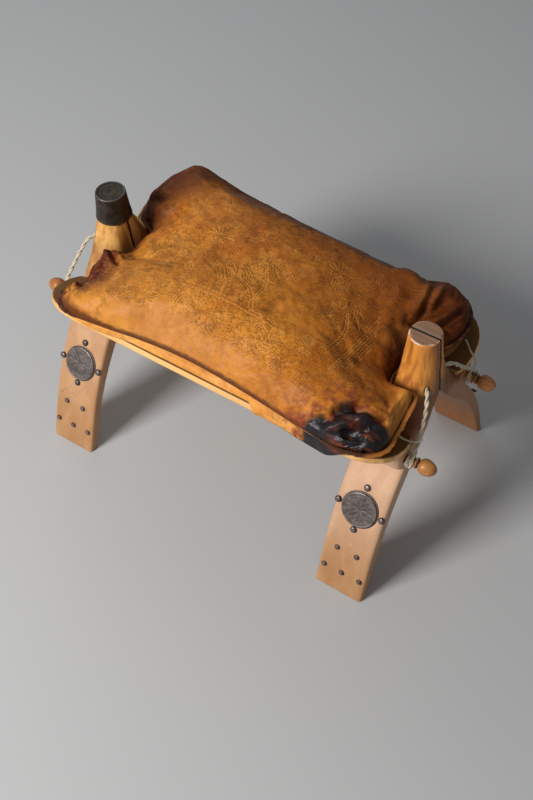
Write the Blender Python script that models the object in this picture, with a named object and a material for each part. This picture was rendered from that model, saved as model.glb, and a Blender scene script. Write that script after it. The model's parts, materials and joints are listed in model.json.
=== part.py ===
"""Camel-saddle stool: four carved legs that pair up into two pommels, two seat boards tilted
into a shallow trough, two stretcher rods lashed to the pommels, and a loose leather cushion.

Metres, +Z up. X runs along the seat, -Y is the front, and the origin is on the floor, midway
between the four feet. Every quadrant is the front or rear, left or right mirror of the one at
+X, +Y, so shapes are written there once and mirrored by the signs in QUADRANTS.
"""
import math

import bmesh
import bpy
from mathutils import Matrix, Vector

QUADRANTS = [(end, x_sign, side, y_sign)
             for side, y_sign in (("front", -1), ("rear", 1))
             for end, x_sign in (("left", -1), ("right", 1))]
TOUCH = 0.0003                      # gap kept between pieces that touch
SHARP_ANGLE = math.radians(40.0)    # edges sharper than this are shaded as corners

# Legs: a plank bowed outwards, flat at the foot and round at the pommel
FOOT_REACH = 0.2108                 # centre line of the seat to the foot's outer edge
LEG_LEAN = 0.31                     # inward lean of the outer face at the floor
LEG_CURL = 3.4                      # how fast that lean grows with height
LEG_X = 0.2745                      # middle of the leg's width
LEG_HALF_WIDTH = 0.0425
FOOT_THICK = 0.017
KNEE_THICK = 0.0275                 # thickness where the leg meets the seat
KNEE_HEIGHT = 0.224
KNEE_SWELL = 1.5                    # how late the leg thickens between the foot and the knee
PLANK_STEPS = 8                     # sections between the foot and the knee
PLANK_SQUARE = 10.0                 # superellipse exponent of the plank's outer corners
ARC_STEPS = 14                      # edges round the outer side of a leg section
SLIT_HALF = 0.001                   # half the slit between the two halves of a pommel
POMMEL_X = 0.283
POMMEL_RADIUS = 0.0245
POMMEL_TOP = 0.420
# The leg above the knee: outer (y, z), inner (y, z), low x, high x, squareness
KNEE_SECTIONS = [
    ((0.0973, 0.2310), (0.0763, 0.2130), 0.2320, 0.3170, 10.0),
    ((0.1065, 0.2385), (0.0700, 0.2210), 0.2320, 0.3170, 10.0),
    ((0.1150, 0.2475), (0.0640, 0.2285), 0.2320, 0.3170, 10.0),
    ((0.1160, 0.2620), (0.0570, 0.2375), 0.2320, 0.3170, 10.0),
    ((0.1145, 0.2843), (0.0500, 0.2460), 0.2320, 0.3170, 10.0),
    ((0.0900, 0.2754), (0.0430, 0.2540), 0.2320, 0.3170, 10.0),
    ((0.0705, 0.2668), (0.0330, 0.2668), 0.2330, 0.3170, 9.0),
    ((0.0680, 0.2760), (0.0250, 0.2780), 0.2370, 0.3165, 6.0),
    ((0.0590, 0.2940), (0.0140, 0.2960), 0.2440, 0.3160, 4.0),
    ((0.0500, 0.3130), (SLIT_HALF, 0.3130), 0.2490, 0.3155, 3.2),
    ((0.0420, 0.3330), (SLIT_HALF, 0.3330), 0.2520, 0.3140, 2.7),
    ((0.0345, 0.3540), (SLIT_HALF, 0.3540), 0.2540, 0.3120, 2.3),
]
# The pommel's round top: height, radius added to POMMEL_RADIUS
POMMEL_SECTIONS = [(0.3750, 0.0040), (0.3950, 0.0018), (0.4180, 0.0), (POMMEL_TOP, -0.0015)]

# Metal cap on the left pommel
CAP_WALL = 0.0013
CAP_SKIRT = 0.045
CAP_DISH = 0.0016                   # how far the cap's top is dished inside its rim
CAP_CLEARANCE = 0.0005
CAP_STEP = 0.0018                   # how far the capped pommel is turned down
CAP_ROOF = 0.0022                   # height of the rim over the pommel's top
CAP_EYE = 0.0006                    # radius at which the turned profile ends

# Stretcher rods under the seat boards, with turned finials on their tenons
ROD_Y = 0.094
ROD_Z = 0.257
ROD_RADIUS = 0.008
ROD_END = 0.3172
TENON_RADIUS = 0.0045
TENON_END = 0.345
BORE_CLEARANCE = 0.0003
ROD_CHAMFER = 0.0008
ROD_STEPS = 16                      # sides of the rods and of the holes for them
ROD_BORE_FROM = 0.20                # a cutter for a rod's hole through a leg, along X
ROD_BORE_TO = 0.35
SOCKET_FROM = 0.31                  # where the cutter for a finial's socket starts
FINIAL_STEPS = 14
FINIAL_BASE = 0.3175
# Finial profile: distance past FINIAL_BASE, radius
FINIAL_PROFILE = [(0.0, 0.0064), (0.0143, 0.0060), (0.0149, 0.0082), (0.0169, 0.0088),
                  (0.0185, 0.0080), (0.0191, 0.0066), (0.0205, 0.0068), (0.0217, 0.0092),
                  (0.0258, 0.0118), (0.0308, 0.0125), (0.0363, 0.0117), (0.0408, 0.0092),
                  (0.0438, 0.0058), (0.0453, 0.0020)]

# Seat boards: outer edges higher than inner ones
BOARD_Y = 0.105
BOARD_Z = 0.2934                    # top surface at BOARD_Y
BOARD_TILT = math.radians(20.0)
BOARD_HALF_WIDTH = 0.0709
BOARD_HALF_LENGTH = 0.3192
BOARD_END = 0.088                   # length of the rounded end
BOARD_ROUND = 2.34                  # superellipse exponent of the end
BOARD_THICK = 0.011
BOARD_EDGE = 0.0015                 # height of the eased edges
BOARD_EDGE_INSET = 0.0012           # and how far they lean in
BOARD_END_STEPS = 16
NOTCH_X = 0.2300                    # the boards are cut back here to pass the legs
NOTCH_Y = 0.0712
NOTCH_END = 0.36                    # the notch's cutter ends here, clear of the board
NOTCH_TALL = 0.2

# Metal trim on the legs' outer faces
MEDALLION_Z = 0.1565
MEDALLION_RADIUS = 0.0312
# Medallion profile: height above the bottom of its recess, radius
MEDALLION_PROFILE = [(0.0, 0.0308), (0.0016, MEDALLION_RADIUS), (0.0020, 0.0307), (0.0018, 0.0296),
                     (0.0040, 0.0290), (0.0048, 0.0278), (0.0042, 0.0240)]
MEDALLION_STEPS = 28
MEDALLION_SUNK = 0.0014             # depth of its recess in the leg
RECESS_PROUD = 0.02                 # how far the recess's cutter stands out of the leg
MEDALLION_STUD_REACH = 0.0379       # medallion centre to the studs round it
BIG_STUD_RADIUS = 0.0056
SMALL_STUD_RADIUS = 0.0047
STUD_DOME = 0.48                    # dome height as a part of its radius
STUD_LIFT = 0.0005                  # the head's rim above the leg
# Stud head profile: share of the dome's height, share of the head's radius
STUD_PROFILE = [(0.0, 1.0), (0.66, 0.80), (1.0, 0.32)]
SHANK_RADIUS = 0.0011
SHANK_LENGTH = 0.009
HOLE_PROUD = 0.004                  # how far the cutters for the studs' holes stand out of the leg
STUD_STEPS = 8
LOWER_STUDS = [(-0.0175, 0.0815), (0.0175, 0.0815), (-0.0320, 0.0400), (0.0, 0.0400),
               (0.0320, 0.0400)]   # from the leg's middle, height on its outer face

# Cushion: a quadrant of its seam outline, from the end notch to the middle of the long side.
# The right-hand half is made with these values and the left-hand half with x times LEFT_REACH.
SEAM_OUTLINE = [(0.2450, 0.0), (0.2450, 0.0280), (0.2490, 0.0430), (0.2650, 0.0530), (0.2850, 0.0615),
                (0.2970, 0.0790), (0.3000, 0.1050), (0.2960, 0.1350), (0.2820, 0.1620),
                (0.2520, 0.1760), (0.1900, 0.1770), (0.1000, 0.1710), (0.0, 0.1680)]
LEFT_REACH = 0.965                  # the cushion's left end is this much shorter than its right
SEAM_LOW = 0.3200                   # seam height at the middle of the seat
SEAM_RISE = 0.0140                  # how much higher it is at the long sides
SEAM_HALF_SPAN = 0.1750
TROUGH_SOFTEN = 0.030               # radius that rounds the trough's bottom
CUSHION_RISE = 0.0006               # clearance over the boards
CROWN = 0.066                       # top of the crown above the seam
# Rings of the cushion inside its seam: inset, top above the seam, underside below the seam
EDGE_RINGS = [(0.0, 0.0, 0.0), (0.0060, 0.0160, 0.0100), (0.0130, 0.0290, 0.0240),
              (0.0200, 0.0370, None)]
INNER_RINGS = [0.62, 0.30]
LEATHER = 0.0020
FILLING_GAP = 0.0010
CUSHION_SHARP = math.radians(60.0)

# Cords
LASHING_RADIUS = 0.0032
LASHING_BORE = 0.0046
BORE_STEPS = 12
BORE_PAST_MOUTH = 0.5               # the bore's cutter past each end, in lengths of the bore
BORE_PAST_MEETS = 0.1
BORE_MOUTH = (0.3130, 0.0380, 0.3360)   # the oblique bore's mouth on a pommel half
BORE_MEETS = (0.2900, 0.0, 0.3440)      # where the two halves' bores meet
WRAP_POINTS = 12
WRAP_SWEEP = math.radians(430.0)    # how far each end is wound round a finial's neck
WRAP_LEAVES = math.radians(30.0)    # angle at which it leaves the neck for the pommel
WRAP_START = 0.0032                 # wraps' start and end past FINIAL_BASE
WRAP_END = 0.0107
TIE_RADIUS = 0.0014
CORD_SPACING = 5                    # radii between a cord's points
# Lashing: from the neck, up past the board's end, to the bore in the pommel
LASHING_ROUTE = [(0.3282, 0.0950, 0.2725), (0.3270, 0.0840, 0.2860), (0.3240, 0.0680, 0.3030),
                 (0.3195, 0.0520, 0.3210), BORE_MOUTH, (0.3010, 0.0180, 0.3402),
                 (0.2934, 0.0055, 0.3428), (0.2914, 0.0, 0.3435)]
# Tie: from the cushion's corner to just beside the lashing, at the right-hand end
TIE_ROUTE = [(0.3020, 0.1050, 0.3190), (0.3070, 0.1040, 0.3130), (0.3140, 0.1000, 0.3060),
             (0.3235, 0.0950, 0.3020), (0.3300, 0.0880, 0.2990), (0.3322, 0.0800, 0.2965)]


def material(name, colour, roughness, metallic=0.0):
    """A Principled material."""
    made = bpy.data.materials.new(name)
    made.use_nodes = True
    shader = made.node_tree.nodes["Principled BSDF"]
    shader.inputs["Base Color"].default_value = (*colour, 1.0)
    shader.inputs["Roughness"].default_value = roughness
    shader.inputs["Metallic"].default_value = metallic
    return made


def clear_scene():
    for old in list(bpy.data.objects):
        bpy.data.objects.remove(old, do_unlink=True)


def add_object(name, bm, finish, origin=(0.0, 0.0, 0.0), sharp=SHARP_ANGLE):
    """Turn a bmesh in world coordinates into a named object whose origin is at origin."""
    bmesh.ops.recalc_face_normals(bm, faces=bm.faces)
    bmesh.ops.translate(bm, verts=bm.verts, vec=-Vector(origin))
    mesh = bpy.data.meshes.new(name)
    bm.to_mesh(mesh)
    bm.free()
    mesh.shade_smooth()
    mesh.set_sharp_from_angle(angle=sharp)
    mesh.materials.append(finish)
    made = bpy.data.objects.new(name, mesh)
    made.location = origin
    bpy.context.collection.objects.link(made)
    return made


def loft(rings):
    """A closed solid through rings with the same number of points."""
    bm = bmesh.new()
    rows = [[bm.verts.new(point) for point in ring] for ring in rings]
    count = len(rows[0])
    for low, high in zip(rows, rows[1:]):
        for k in range(count):
            after = (k + 1) % count
            bm.faces.new((low[k], low[after], high[after], high[k]))
    bm.faces.new(rows[0])
    bm.faces.new(list(reversed(rows[-1])))
    return bm


def turned(profile, steps, frame):
    """Revolve (height, radius) pairs about frame's Z axis, with flat ends."""
    rings = []
    for height, radius in profile:
        angles = (2 * math.pi * k / steps for k in range(steps))
        rings.append([frame @ Vector((radius * math.cos(a), radius * math.sin(a), height))
                      for a in angles])
    return loft(rings)


def cutter(name, bm):
    """A hidden object for a Boolean to subtract."""
    made = add_object(name, bm, bpy.data.materials["cutter"])
    made.hide_render = True
    made.display_type = "WIRE"
    return made


def subtract(target, tool):
    cut = target.modifiers.new(tool.name, "BOOLEAN")
    cut.operation = "DIFFERENCE"
    cut.solver = "EXACT"
    cut.object = tool


def power(value, exponent):
    """Signed power, for superellipses."""
    return math.copysign(abs(value) ** exponent, value)


# ---- legs ----

def outer_face(height):
    """Distance of the leg's outer face from the seat's centre line at a height."""
    return FOOT_REACH - LEG_LEAN * height - LEG_CURL * height ** 3


def face_normal(height):
    """Outward normal of that face, as (y, z)."""
    slope = LEG_LEAN + 3 * LEG_CURL * height ** 2
    return Vector((1.0, slope)).normalized()


def leg_section(outer, inner, low_x, high_x, squareness):
    """Points from the inner corner at high x, round the outer side, to the one at low x."""
    middle = (low_x + high_x) / 2
    half = (high_x - low_x) / 2
    ring = []
    for k in range(ARC_STEPS + 1):
        angle = math.pi * k / ARC_STEPS
        across = power(math.cos(angle), 2 / squareness) if k not in (0, ARC_STEPS) else math.cos(angle)
        out = 0.0 if k in (0, ARC_STEPS) else power(math.sin(angle), 2 / squareness)
        ring.append(Vector((middle + half * across,
                            inner[0] + (outer[0] - inner[0]) * out,
                            inner[1] + (outer[1] - inner[1]) * out)))
    return ring


def leg_sections(capped):
    """Every section of the leg at +X, +Y, from the sole to the pommel's top."""
    low_x = LEG_X - LEG_HALF_WIDTH
    high_x = LEG_X + LEG_HALF_WIDTH
    sections = [leg_section((FOOT_REACH, 0.0), (FOOT_REACH - FOOT_THICK, 0.0),
                            low_x, high_x, PLANK_SQUARE)]
    for k in range(1, PLANK_STEPS + 1):
        height = KNEE_HEIGHT * k / PLANK_STEPS
        normal = face_normal(height)
        thick = FOOT_THICK + (KNEE_THICK - FOOT_THICK) * (height / KNEE_HEIGHT) ** KNEE_SWELL
        outer = Vector((outer_face(height), height))
        sections.append(leg_section(outer, outer - thick * normal, low_x, high_x, PLANK_SQUARE))
    for outer, inner, section_low, section_high, squareness in KNEE_SECTIONS:
        sections.append(leg_section(outer, inner, section_low, section_high, squareness))
    for height, extra in POMMEL_SECTIONS:
        radius = POMMEL_RADIUS + extra - (CAP_STEP if capped else 0.0)
        sections.append(leg_section((radius, height), (SLIT_HALF, height),
                                    POMMEL_X - radius, POMMEL_X + radius, 2.0))
    return sections


def mirrored(points, x_sign, y_sign):
    return [Vector((x_sign * p.x, y_sign * p.y, p.z)) for p in points]


def face_frame(x, height, x_sign, y_sign, lift=0.0):
    """Frame on a leg's outer face with Z outwards, lift above the face."""
    normal = face_normal(height)
    out = Vector((0.0, y_sign * normal[0], normal[1]))
    place = Vector((x_sign * x, y_sign * outer_face(height), height)) + out * lift
    along = Vector((1.0, 0.0, 0.0))
    frame = Matrix((along, out.cross(along), out)).transposed().to_4x4()
    frame.translation = place
    return frame


def stud_frames(x_sign, y_sign):
    """Frames of the nine studs on a leg, with their head radii, medallion studs first."""
    studs = []
    slope = face_normal(MEDALLION_Z)
    for across, along in ((0, 1), (1, 0), (0, -1), (-1, 0)):
        height = MEDALLION_Z + along * MEDALLION_STUD_REACH * slope[0]
        studs.append((face_frame(LEG_X + across * MEDALLION_STUD_REACH, height, x_sign, y_sign),
                      BIG_STUD_RADIUS))
    for across, height in LOWER_STUDS:
        studs.append((face_frame(LEG_X + across, height, x_sign, y_sign), SMALL_STUD_RADIUS))
    return studs


def tube_cutter(name, start, end, radius, steps=ROD_STEPS):
    """A straight round cutter from start to end."""
    axis = Vector(end) - Vector(start)
    frame = Matrix.Translation(start) @ axis.to_track_quat("Z", "Y").to_matrix().to_4x4()
    return cutter(name, turned([(0.0, radius), (axis.length, radius)], steps, frame))


def merge(target, source):
    """Append one bmesh to another and free it."""
    holder = bpy.data.meshes.new("merge")
    source.to_mesh(holder)
    source.free()
    target.from_mesh(holder)
    bpy.data.meshes.remove(holder)


def make_legs(wood):
    for end, x_sign, side, y_sign in QUADRANTS:
        name = f"leg_{side}_{end}"
        rings = [mirrored(ring, x_sign, y_sign) for ring in leg_sections(capped=end == "left")]
        foot = (x_sign * LEG_X, y_sign * FOOT_REACH, 0.0)
        leg = add_object(name, loft(rings), wood, origin=foot)
        rod = tube_cutter(f"cut_rod_{side}_{end}", (x_sign * ROD_BORE_FROM, y_sign * ROD_Y, ROD_Z),
                          (x_sign * ROD_BORE_TO, y_sign * ROD_Y, ROD_Z), ROD_RADIUS + BORE_CLEARANCE)
        subtract(leg, rod)
        inwards = Vector(BORE_MEETS) - Vector(BORE_MOUTH)
        ends = [Vector(BORE_MEETS) + BORE_PAST_MEETS * inwards,
                Vector(BORE_MOUTH) - BORE_PAST_MOUTH * inwards]
        ends = mirrored(ends, x_sign, y_sign)
        cord = tube_cutter(f"cut_cord_{side}_{end}", *ends, LASHING_BORE, steps=BORE_STEPS)
        subtract(leg, cord)
        recess = turned([(-MEDALLION_SUNK, MEDALLION_RADIUS + BORE_CLEARANCE),
                         (RECESS_PROUD, MEDALLION_RADIUS + BORE_CLEARANCE)], MEDALLION_STEPS,
                        face_frame(LEG_X, MEDALLION_Z, x_sign, y_sign))
        subtract(leg, cutter(f"cut_recess_{side}_{end}", recess))
        holes = bmesh.new()
        for frame, _ in stud_frames(x_sign, y_sign):
            hole = [(-SHANK_LENGTH - TOUCH, SHANK_RADIUS + TOUCH), (HOLE_PROUD, SHANK_RADIUS + TOUCH)]
            merge(holes, turned(hole, STUD_STEPS, frame))
        subtract(leg, cutter(f"cut_studs_{side}_{end}", holes))


def make_cap(bronze):
    """The metal cap driven over the left pommel, dished inside its rim."""
    inner = POMMEL_RADIUS - CAP_STEP + CAP_CLEARANCE
    top = POMMEL_TOP + TOUCH
    skirt_low = POMMEL_TOP - CAP_SKIRT
    skirt = inner + POMMEL_SECTIONS[0][1] + TOUCH
    waist_high, waist_flare = POMMEL_SECTIONS[1]
    waist = inner + waist_flare
    inside = [(top, CAP_EYE), (top, inner - 0.0015), (top - 0.0020, inner), (waist_high, waist),
              (skirt_low, skirt)]
    outside = [(skirt_low, skirt + CAP_WALL), (waist_high, waist + CAP_WALL),
               (top - 0.0010, inner + CAP_WALL), (top + 0.0018, inner + 0.0002)]
    roof = [(top + CAP_ROOF, inner - 0.0020), (top + CAP_ROOF - CAP_DISH, inner - 0.0060),
            (top + CAP_ROOF - CAP_DISH, CAP_EYE)]
    frame = Matrix.Translation((-POMMEL_X, 0.0, 0.0))
    add_object("pommel_cap", turned([*inside, *outside, *roof], 2 * ARC_STEPS, frame), bronze,
               origin=(-POMMEL_X, 0.0, skirt_low))


# ---- rods and finials ----

def along_x(x, y, z, x_sign):
    """Frame at a point with Z along the stool's outward X."""
    turn = Matrix.Rotation(x_sign * math.pi / 2, 4, "Y")
    return Matrix.Translation((x, y, z)) @ turn


def make_rods(wood):
    for side, y_sign in (("front", -1), ("rear", 1)):
        frame = along_x(0.0, y_sign * ROD_Y, ROD_Z, 1)
        half = [(ROD_END, ROD_RADIUS - ROD_CHAMFER), (ROD_END - ROD_CHAMFER, ROD_RADIUS)]
        tenon = [(TENON_END, TENON_RADIUS), (ROD_END, TENON_RADIUS)]
        right = [*tenon, *half]
        profile = [*right, *((-height, radius) for height, radius in reversed(right))]
        add_object(f"stretcher_rod_{side}", turned(profile, ROD_STEPS, frame), wood,
                   origin=(0.0, y_sign * ROD_Y, ROD_Z))


def make_finials(wood):
    for end, x_sign, side, y_sign in QUADRANTS:
        base = (x_sign * FINIAL_BASE, y_sign * ROD_Y, ROD_Z)
        shape = turned(FINIAL_PROFILE, FINIAL_STEPS, along_x(*base, x_sign))
        finial = add_object(f"finial_{side}_{end}", shape, wood, origin=base)
        socket = tube_cutter(f"cut_socket_{side}_{end}", (x_sign * SOCKET_FROM, base[1], ROD_Z),
                             (x_sign * (TENON_END + TOUCH), base[1], ROD_Z), TENON_RADIUS + TOUCH)
        subtract(finial, socket)


# ---- seat boards ----

def board_outline():
    """Corner-rounded outline of a board in its own plane, long way along X."""
    points = []
    for x_sign in (1, -1):
        for k in range(BOARD_END_STEPS + 1):
            angle = math.pi * (k / BOARD_END_STEPS - 0.5)
            reach = BOARD_HALF_LENGTH - BOARD_END + BOARD_END * power(math.cos(angle), 2 / BOARD_ROUND)
            across = BOARD_HALF_WIDTH * power(math.sin(angle), 2 / BOARD_ROUND)
            points.append((x_sign * reach, x_sign * across))
    return points


def make_boards(wood):
    for side, y_sign in (("front", -1), ("rear", 1)):
        centre = Vector((0.0, y_sign * BOARD_Y, BOARD_Z))
        frame = Matrix.Translation(centre) @ Matrix.Rotation(y_sign * BOARD_TILT, 4, "X")
        rings = [[frame @ Vector((x, y, height)) for x, y in board_outline()]
                 for height in (-BOARD_THICK, -BOARD_THICK + BOARD_EDGE, -BOARD_EDGE, 0.0)]
        for ring in (rings[0], rings[-1]):
            for point in ring:
                point -= (point - centre).normalized() * BOARD_EDGE_INSET
        board = add_object(f"seat_board_{side}", loft(rings), wood, origin=centre)
        for end, x_sign in (("left", -1), ("right", 1)):
            low, high = sorted((x_sign * NOTCH_X, x_sign * NOTCH_END))
            notch = bmesh.new()
            bmesh.ops.create_cube(notch, size=1.0)
            size = Matrix.Diagonal((high - low, 2 * NOTCH_Y, NOTCH_TALL, 1.0))
            place = Matrix.Translation(((low + high) / 2, 0.0, BOARD_Z))
            bmesh.ops.transform(notch, matrix=place @ size, verts=notch.verts)
            subtract(board, cutter(f"cut_notch_{side}_{end}", notch))


# ---- metal trim ----

def make_medallions(bronze):
    base = TOUCH - MEDALLION_SUNK
    profile = [(base + height, radius) for height, radius in MEDALLION_PROFILE]
    for end, x_sign, side, y_sign in QUADRANTS:
        frame = face_frame(LEG_X, MEDALLION_Z, x_sign, y_sign)
        add_object(f"medallion_{side}_{end}", turned(profile, MEDALLION_STEPS, frame), bronze,
                   origin=frame.translation)


def make_studs(bronze):
    for end, x_sign, side, y_sign in QUADRANTS:
        for number, (frame, radius) in enumerate(stud_frames(x_sign, y_sign), start=1):
            head = [(STUD_LIFT + share * STUD_DOME * radius, wide * radius) for share, wide in STUD_PROFILE]
            profile = [(-SHANK_LENGTH, SHANK_RADIUS), (STUD_LIFT, SHANK_RADIUS), *head]
            group = "medallion_stud" if number <= 4 else "lower_stud"
            label = number if number <= 4 else number - 4
            add_object(f"{group}_{side}_{end}_{label}", turned(profile, STUD_STEPS, frame), bronze,
                       origin=frame.translation)


# ---- cushion ----

def seam_outline():
    """The whole seam outline, anticlockwise seen from above."""
    quarter = [Vector(point) for point in SEAM_OUTLINE]
    rear_right = quarter
    rear_left = [Vector((-LEFT_REACH * p.x, p.y)) for p in reversed(quarter[:-1])]
    front_left = [Vector((-LEFT_REACH * p.x, -p.y)) for p in quarter[1:]]
    front_right = [Vector((p.x, -p.y)) for p in reversed(quarter[1:-1])]
    return rear_right + rear_left + front_left + front_right


def inset_outline(outline, distance):
    """Move every outline point inwards along its normal."""
    moved = []
    count = len(outline)
    for k, point in enumerate(outline):
        along = (outline[(k + 1) % count] - outline[k - 1]).normalized()
        moved.append(point - distance * Vector((along.y, -along.x)))
    return moved


def seam_height(point):
    """Seam height: it climbs with the boards towards the long sides."""
    return SEAM_LOW + SEAM_RISE * min(1.0, abs(point.y) / SEAM_HALF_SPAN)


def trough(point):
    """Underside of the cushion where it rests on the boards."""
    spread = math.hypot(point.y, TROUGH_SOFTEN)
    return BOARD_Z + CUSHION_RISE + (spread - BOARD_Y) * math.tan(BOARD_TILT)


def cushion_rings(upper, depth):
    """Rings of a cushion surface that lies depth inside the leather's outer side."""
    outline = seam_outline()
    sign = -1 if upper else 1
    rings = []
    for inset, rise, drop in EDGE_RINGS:
        steep = inset < EDGE_RINGS[-1][0]
        moved = inset_outline(outline, inset + depth) if steep else inset_outline(outline, inset)
        ring = []
        for seam_point, point in zip(outline, moved):
            height = seam_height(seam_point)
            if upper:
                height += rise
            elif steep:
                height = max(height - drop, trough(point))
            else:
                height = trough(point)
            ring.append(Vector((point.x, point.y, height + (sign * depth if inset else 0.0))))
        rings.append(ring)
    shoulder = rings[-1]
    for share in INNER_RINGS:
        ring = []
        for point in shoulder:
            inner = Vector((point.x * share, point.y * share))
            if upper:
                shoulder_rise = EDGE_RINGS[-1][1]
                seam = seam_height(inner) * (1 - share) + seam_height(point) * share
                height = seam + shoulder_rise + (CROWN - shoulder_rise) * (1 - share ** 2) - depth
            else:
                height = trough(inner) + depth
            ring.append(Vector((inner.x, inner.y, height)))
        rings.append(ring)
    return rings


def surface(bm, rings, edge=None):
    """Triangles from an outline ring to its middle, the same way round for every layer."""
    rows = [[bm.verts.new(point) for point in ring] for ring in rings]
    if edge:
        for spare in rows[0]:
            bm.verts.remove(spare)
        rows[0] = edge
    count = len(rows[0])
    middle = bm.verts.new(sum(rings[-1], Vector()) / count)
    for outer, inner in zip(rows, rows[1:]):
        for k in range(count):
            after = (k + 1) % count
            bm.faces.new((outer[k], outer[after], inner[k]))
            bm.faces.new((outer[after], inner[after], inner[k]))
    for k in range(count):
        bm.faces.new((rows[-1][k], rows[-1][(k + 1) % count], middle))
    return rows[0]


def cover(upper):
    """A leather panel: its outer surface, its inner surface and the rim between them."""
    lift = Vector((0.0, 0.0, TOUCH / 2 if upper else -TOUCH / 2))
    bm = bmesh.new()
    edges = []
    for depth in (0.0, LEATHER):
        rings = cushion_rings(upper, depth)
        rings[0] = [point + lift for point in rings[0]]
        edges.append(surface(bm, rings))
    for k, start in enumerate(edges[0]):
        after = (k + 1) % len(edges[0])
        bm.faces.new((start, edges[0][after], edges[1][after], edges[1][k]))
    return bm


def filling():
    """The stuffing, between the two panels."""
    bm = bmesh.new()
    depth = LEATHER + FILLING_GAP
    edge = surface(bm, cushion_rings(True, depth))
    surface(bm, cushion_rings(False, depth), edge)
    return bm


def make_cushion(leather, lining):
    add_object("cushion_top", cover(upper=True), leather, origin=(0.0, 0.0, SEAM_LOW),
               sharp=CUSHION_SHARP)
    add_object("cushion_bottom", cover(upper=False), leather, origin=(0.0, 0.0, SEAM_LOW),
               sharp=CUSHION_SHARP)
    add_object("cushion_filling", filling(), lining, origin=(0.0, 0.0, SEAM_LOW),
               sharp=CUSHION_SHARP)


# ---- cords ----

def smooth_route(points, spacing):
    """Points about spacing apart on a smooth curve through a route's points."""
    route = [Vector(point) for point in points]
    padded = [2 * route[0] - route[1], *route, 2 * route[-1] - route[-2]]
    out = []
    for before, start, end, after in zip(padded, padded[1:], padded[2:], padded[3:]):
        steps = max(1, round((end - start).length / spacing))
        for k in range(steps):
            t = k / steps
            out.append(0.5 * (2 * start + (end - before) * t
                              + (2 * before - 5 * start + 4 * end - after) * t ** 2
                              + (3 * start - before - 3 * end + after) * t ** 3))
    out.append(route[-1])
    return out


def cord_object(name, points, radius, finish):
    curve = bpy.data.curves.new(name, "CURVE")
    curve.dimensions = "3D"
    curve.bevel_depth = radius
    curve.bevel_resolution = 2
    curve.use_fill_caps = True
    spline = curve.splines.new("POLY")
    spline.points.add(len(points) - 1)
    for slot, point in zip(spline.points, points):
        slot.co = (*point, 1.0)
    curve.materials.append(finish)
    made = bpy.data.objects.new(name, curve)
    bpy.context.collection.objects.link(made)
    return made


def neck_wraps():
    """Turns round a finial's neck at +X, +Y, from beside the leg out to the collar."""
    radius = FINIAL_PROFILE[0][1] + LASHING_RADIUS + TOUCH
    points = []
    for k in range(WRAP_POINTS):
        share = k / (WRAP_POINTS - 1)
        angle = WRAP_LEAVES - WRAP_SWEEP * (1 - share)
        x = FINIAL_BASE + WRAP_START + (WRAP_END - WRAP_START) * share
        points.append(Vector((x, ROD_Y + radius * math.cos(angle), ROD_Z + radius * math.sin(angle))))
    return points


def make_lashings(cotton):
    spacing = CORD_SPACING * LASHING_RADIUS
    for end, x_sign in (("left", -1), ("right", 1)):
        half = neck_wraps() + smooth_route(LASHING_ROUTE, spacing)
        rear = mirrored(half, x_sign, 1)
        front = mirrored(half, x_sign, -1)
        cord_object(f"lashing_{end}", rear + front[-2::-1], LASHING_RADIUS, cotton)


def make_ties(cotton):
    for side, y_sign in (("front", -1), ("rear", 1)):
        route = [(x, y_sign * y, z) for x, y, z in TIE_ROUTE]
        cord_object(f"cushion_tie_{side}", smooth_route(route, CORD_SPACING * TIE_RADIUS), TIE_RADIUS, cotton)


def build():
    clear_scene()
    material("cutter", (0.8, 0.2, 0.2), 1.0)
    beech = material("beech", (0.64, 0.38, 0.18), 0.45)
    oiled_wood = material("oiled_wood", (0.55, 0.28, 0.09), 0.40)
    bronze = material("dark_bronze", (0.09, 0.065, 0.05), 0.45, metallic=0.9)
    leather = material("tan_leather", (0.42, 0.19, 0.06), 0.42)
    lining = material("fibre_filling", (0.55, 0.48, 0.36), 0.95)
    cotton = material("cotton_cord", (0.68, 0.60, 0.44), 0.90)
    make_legs(beech)
    make_boards(oiled_wood)
    make_rods(oiled_wood)
    make_finials(oiled_wood)
    make_cap(bronze)
    make_medallions(bronze)
    make_studs(bronze)
    make_cushion(leather, lining)
    make_lashings(cotton)
    make_ties(cotton)


build()
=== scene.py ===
"""Looks of the camel-saddle stool: leather cushion, wood, metal, cords, light and camera.

Metres, in the frame of the CAD model: X along the seat, -Y the front, +Z up. The part's driving
sizes that the looks need are repeated here as named values.
"""
import json
import math

import bpy
import numpy as np
from mathutils import Matrix, Vector, kdtree, noise

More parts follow.
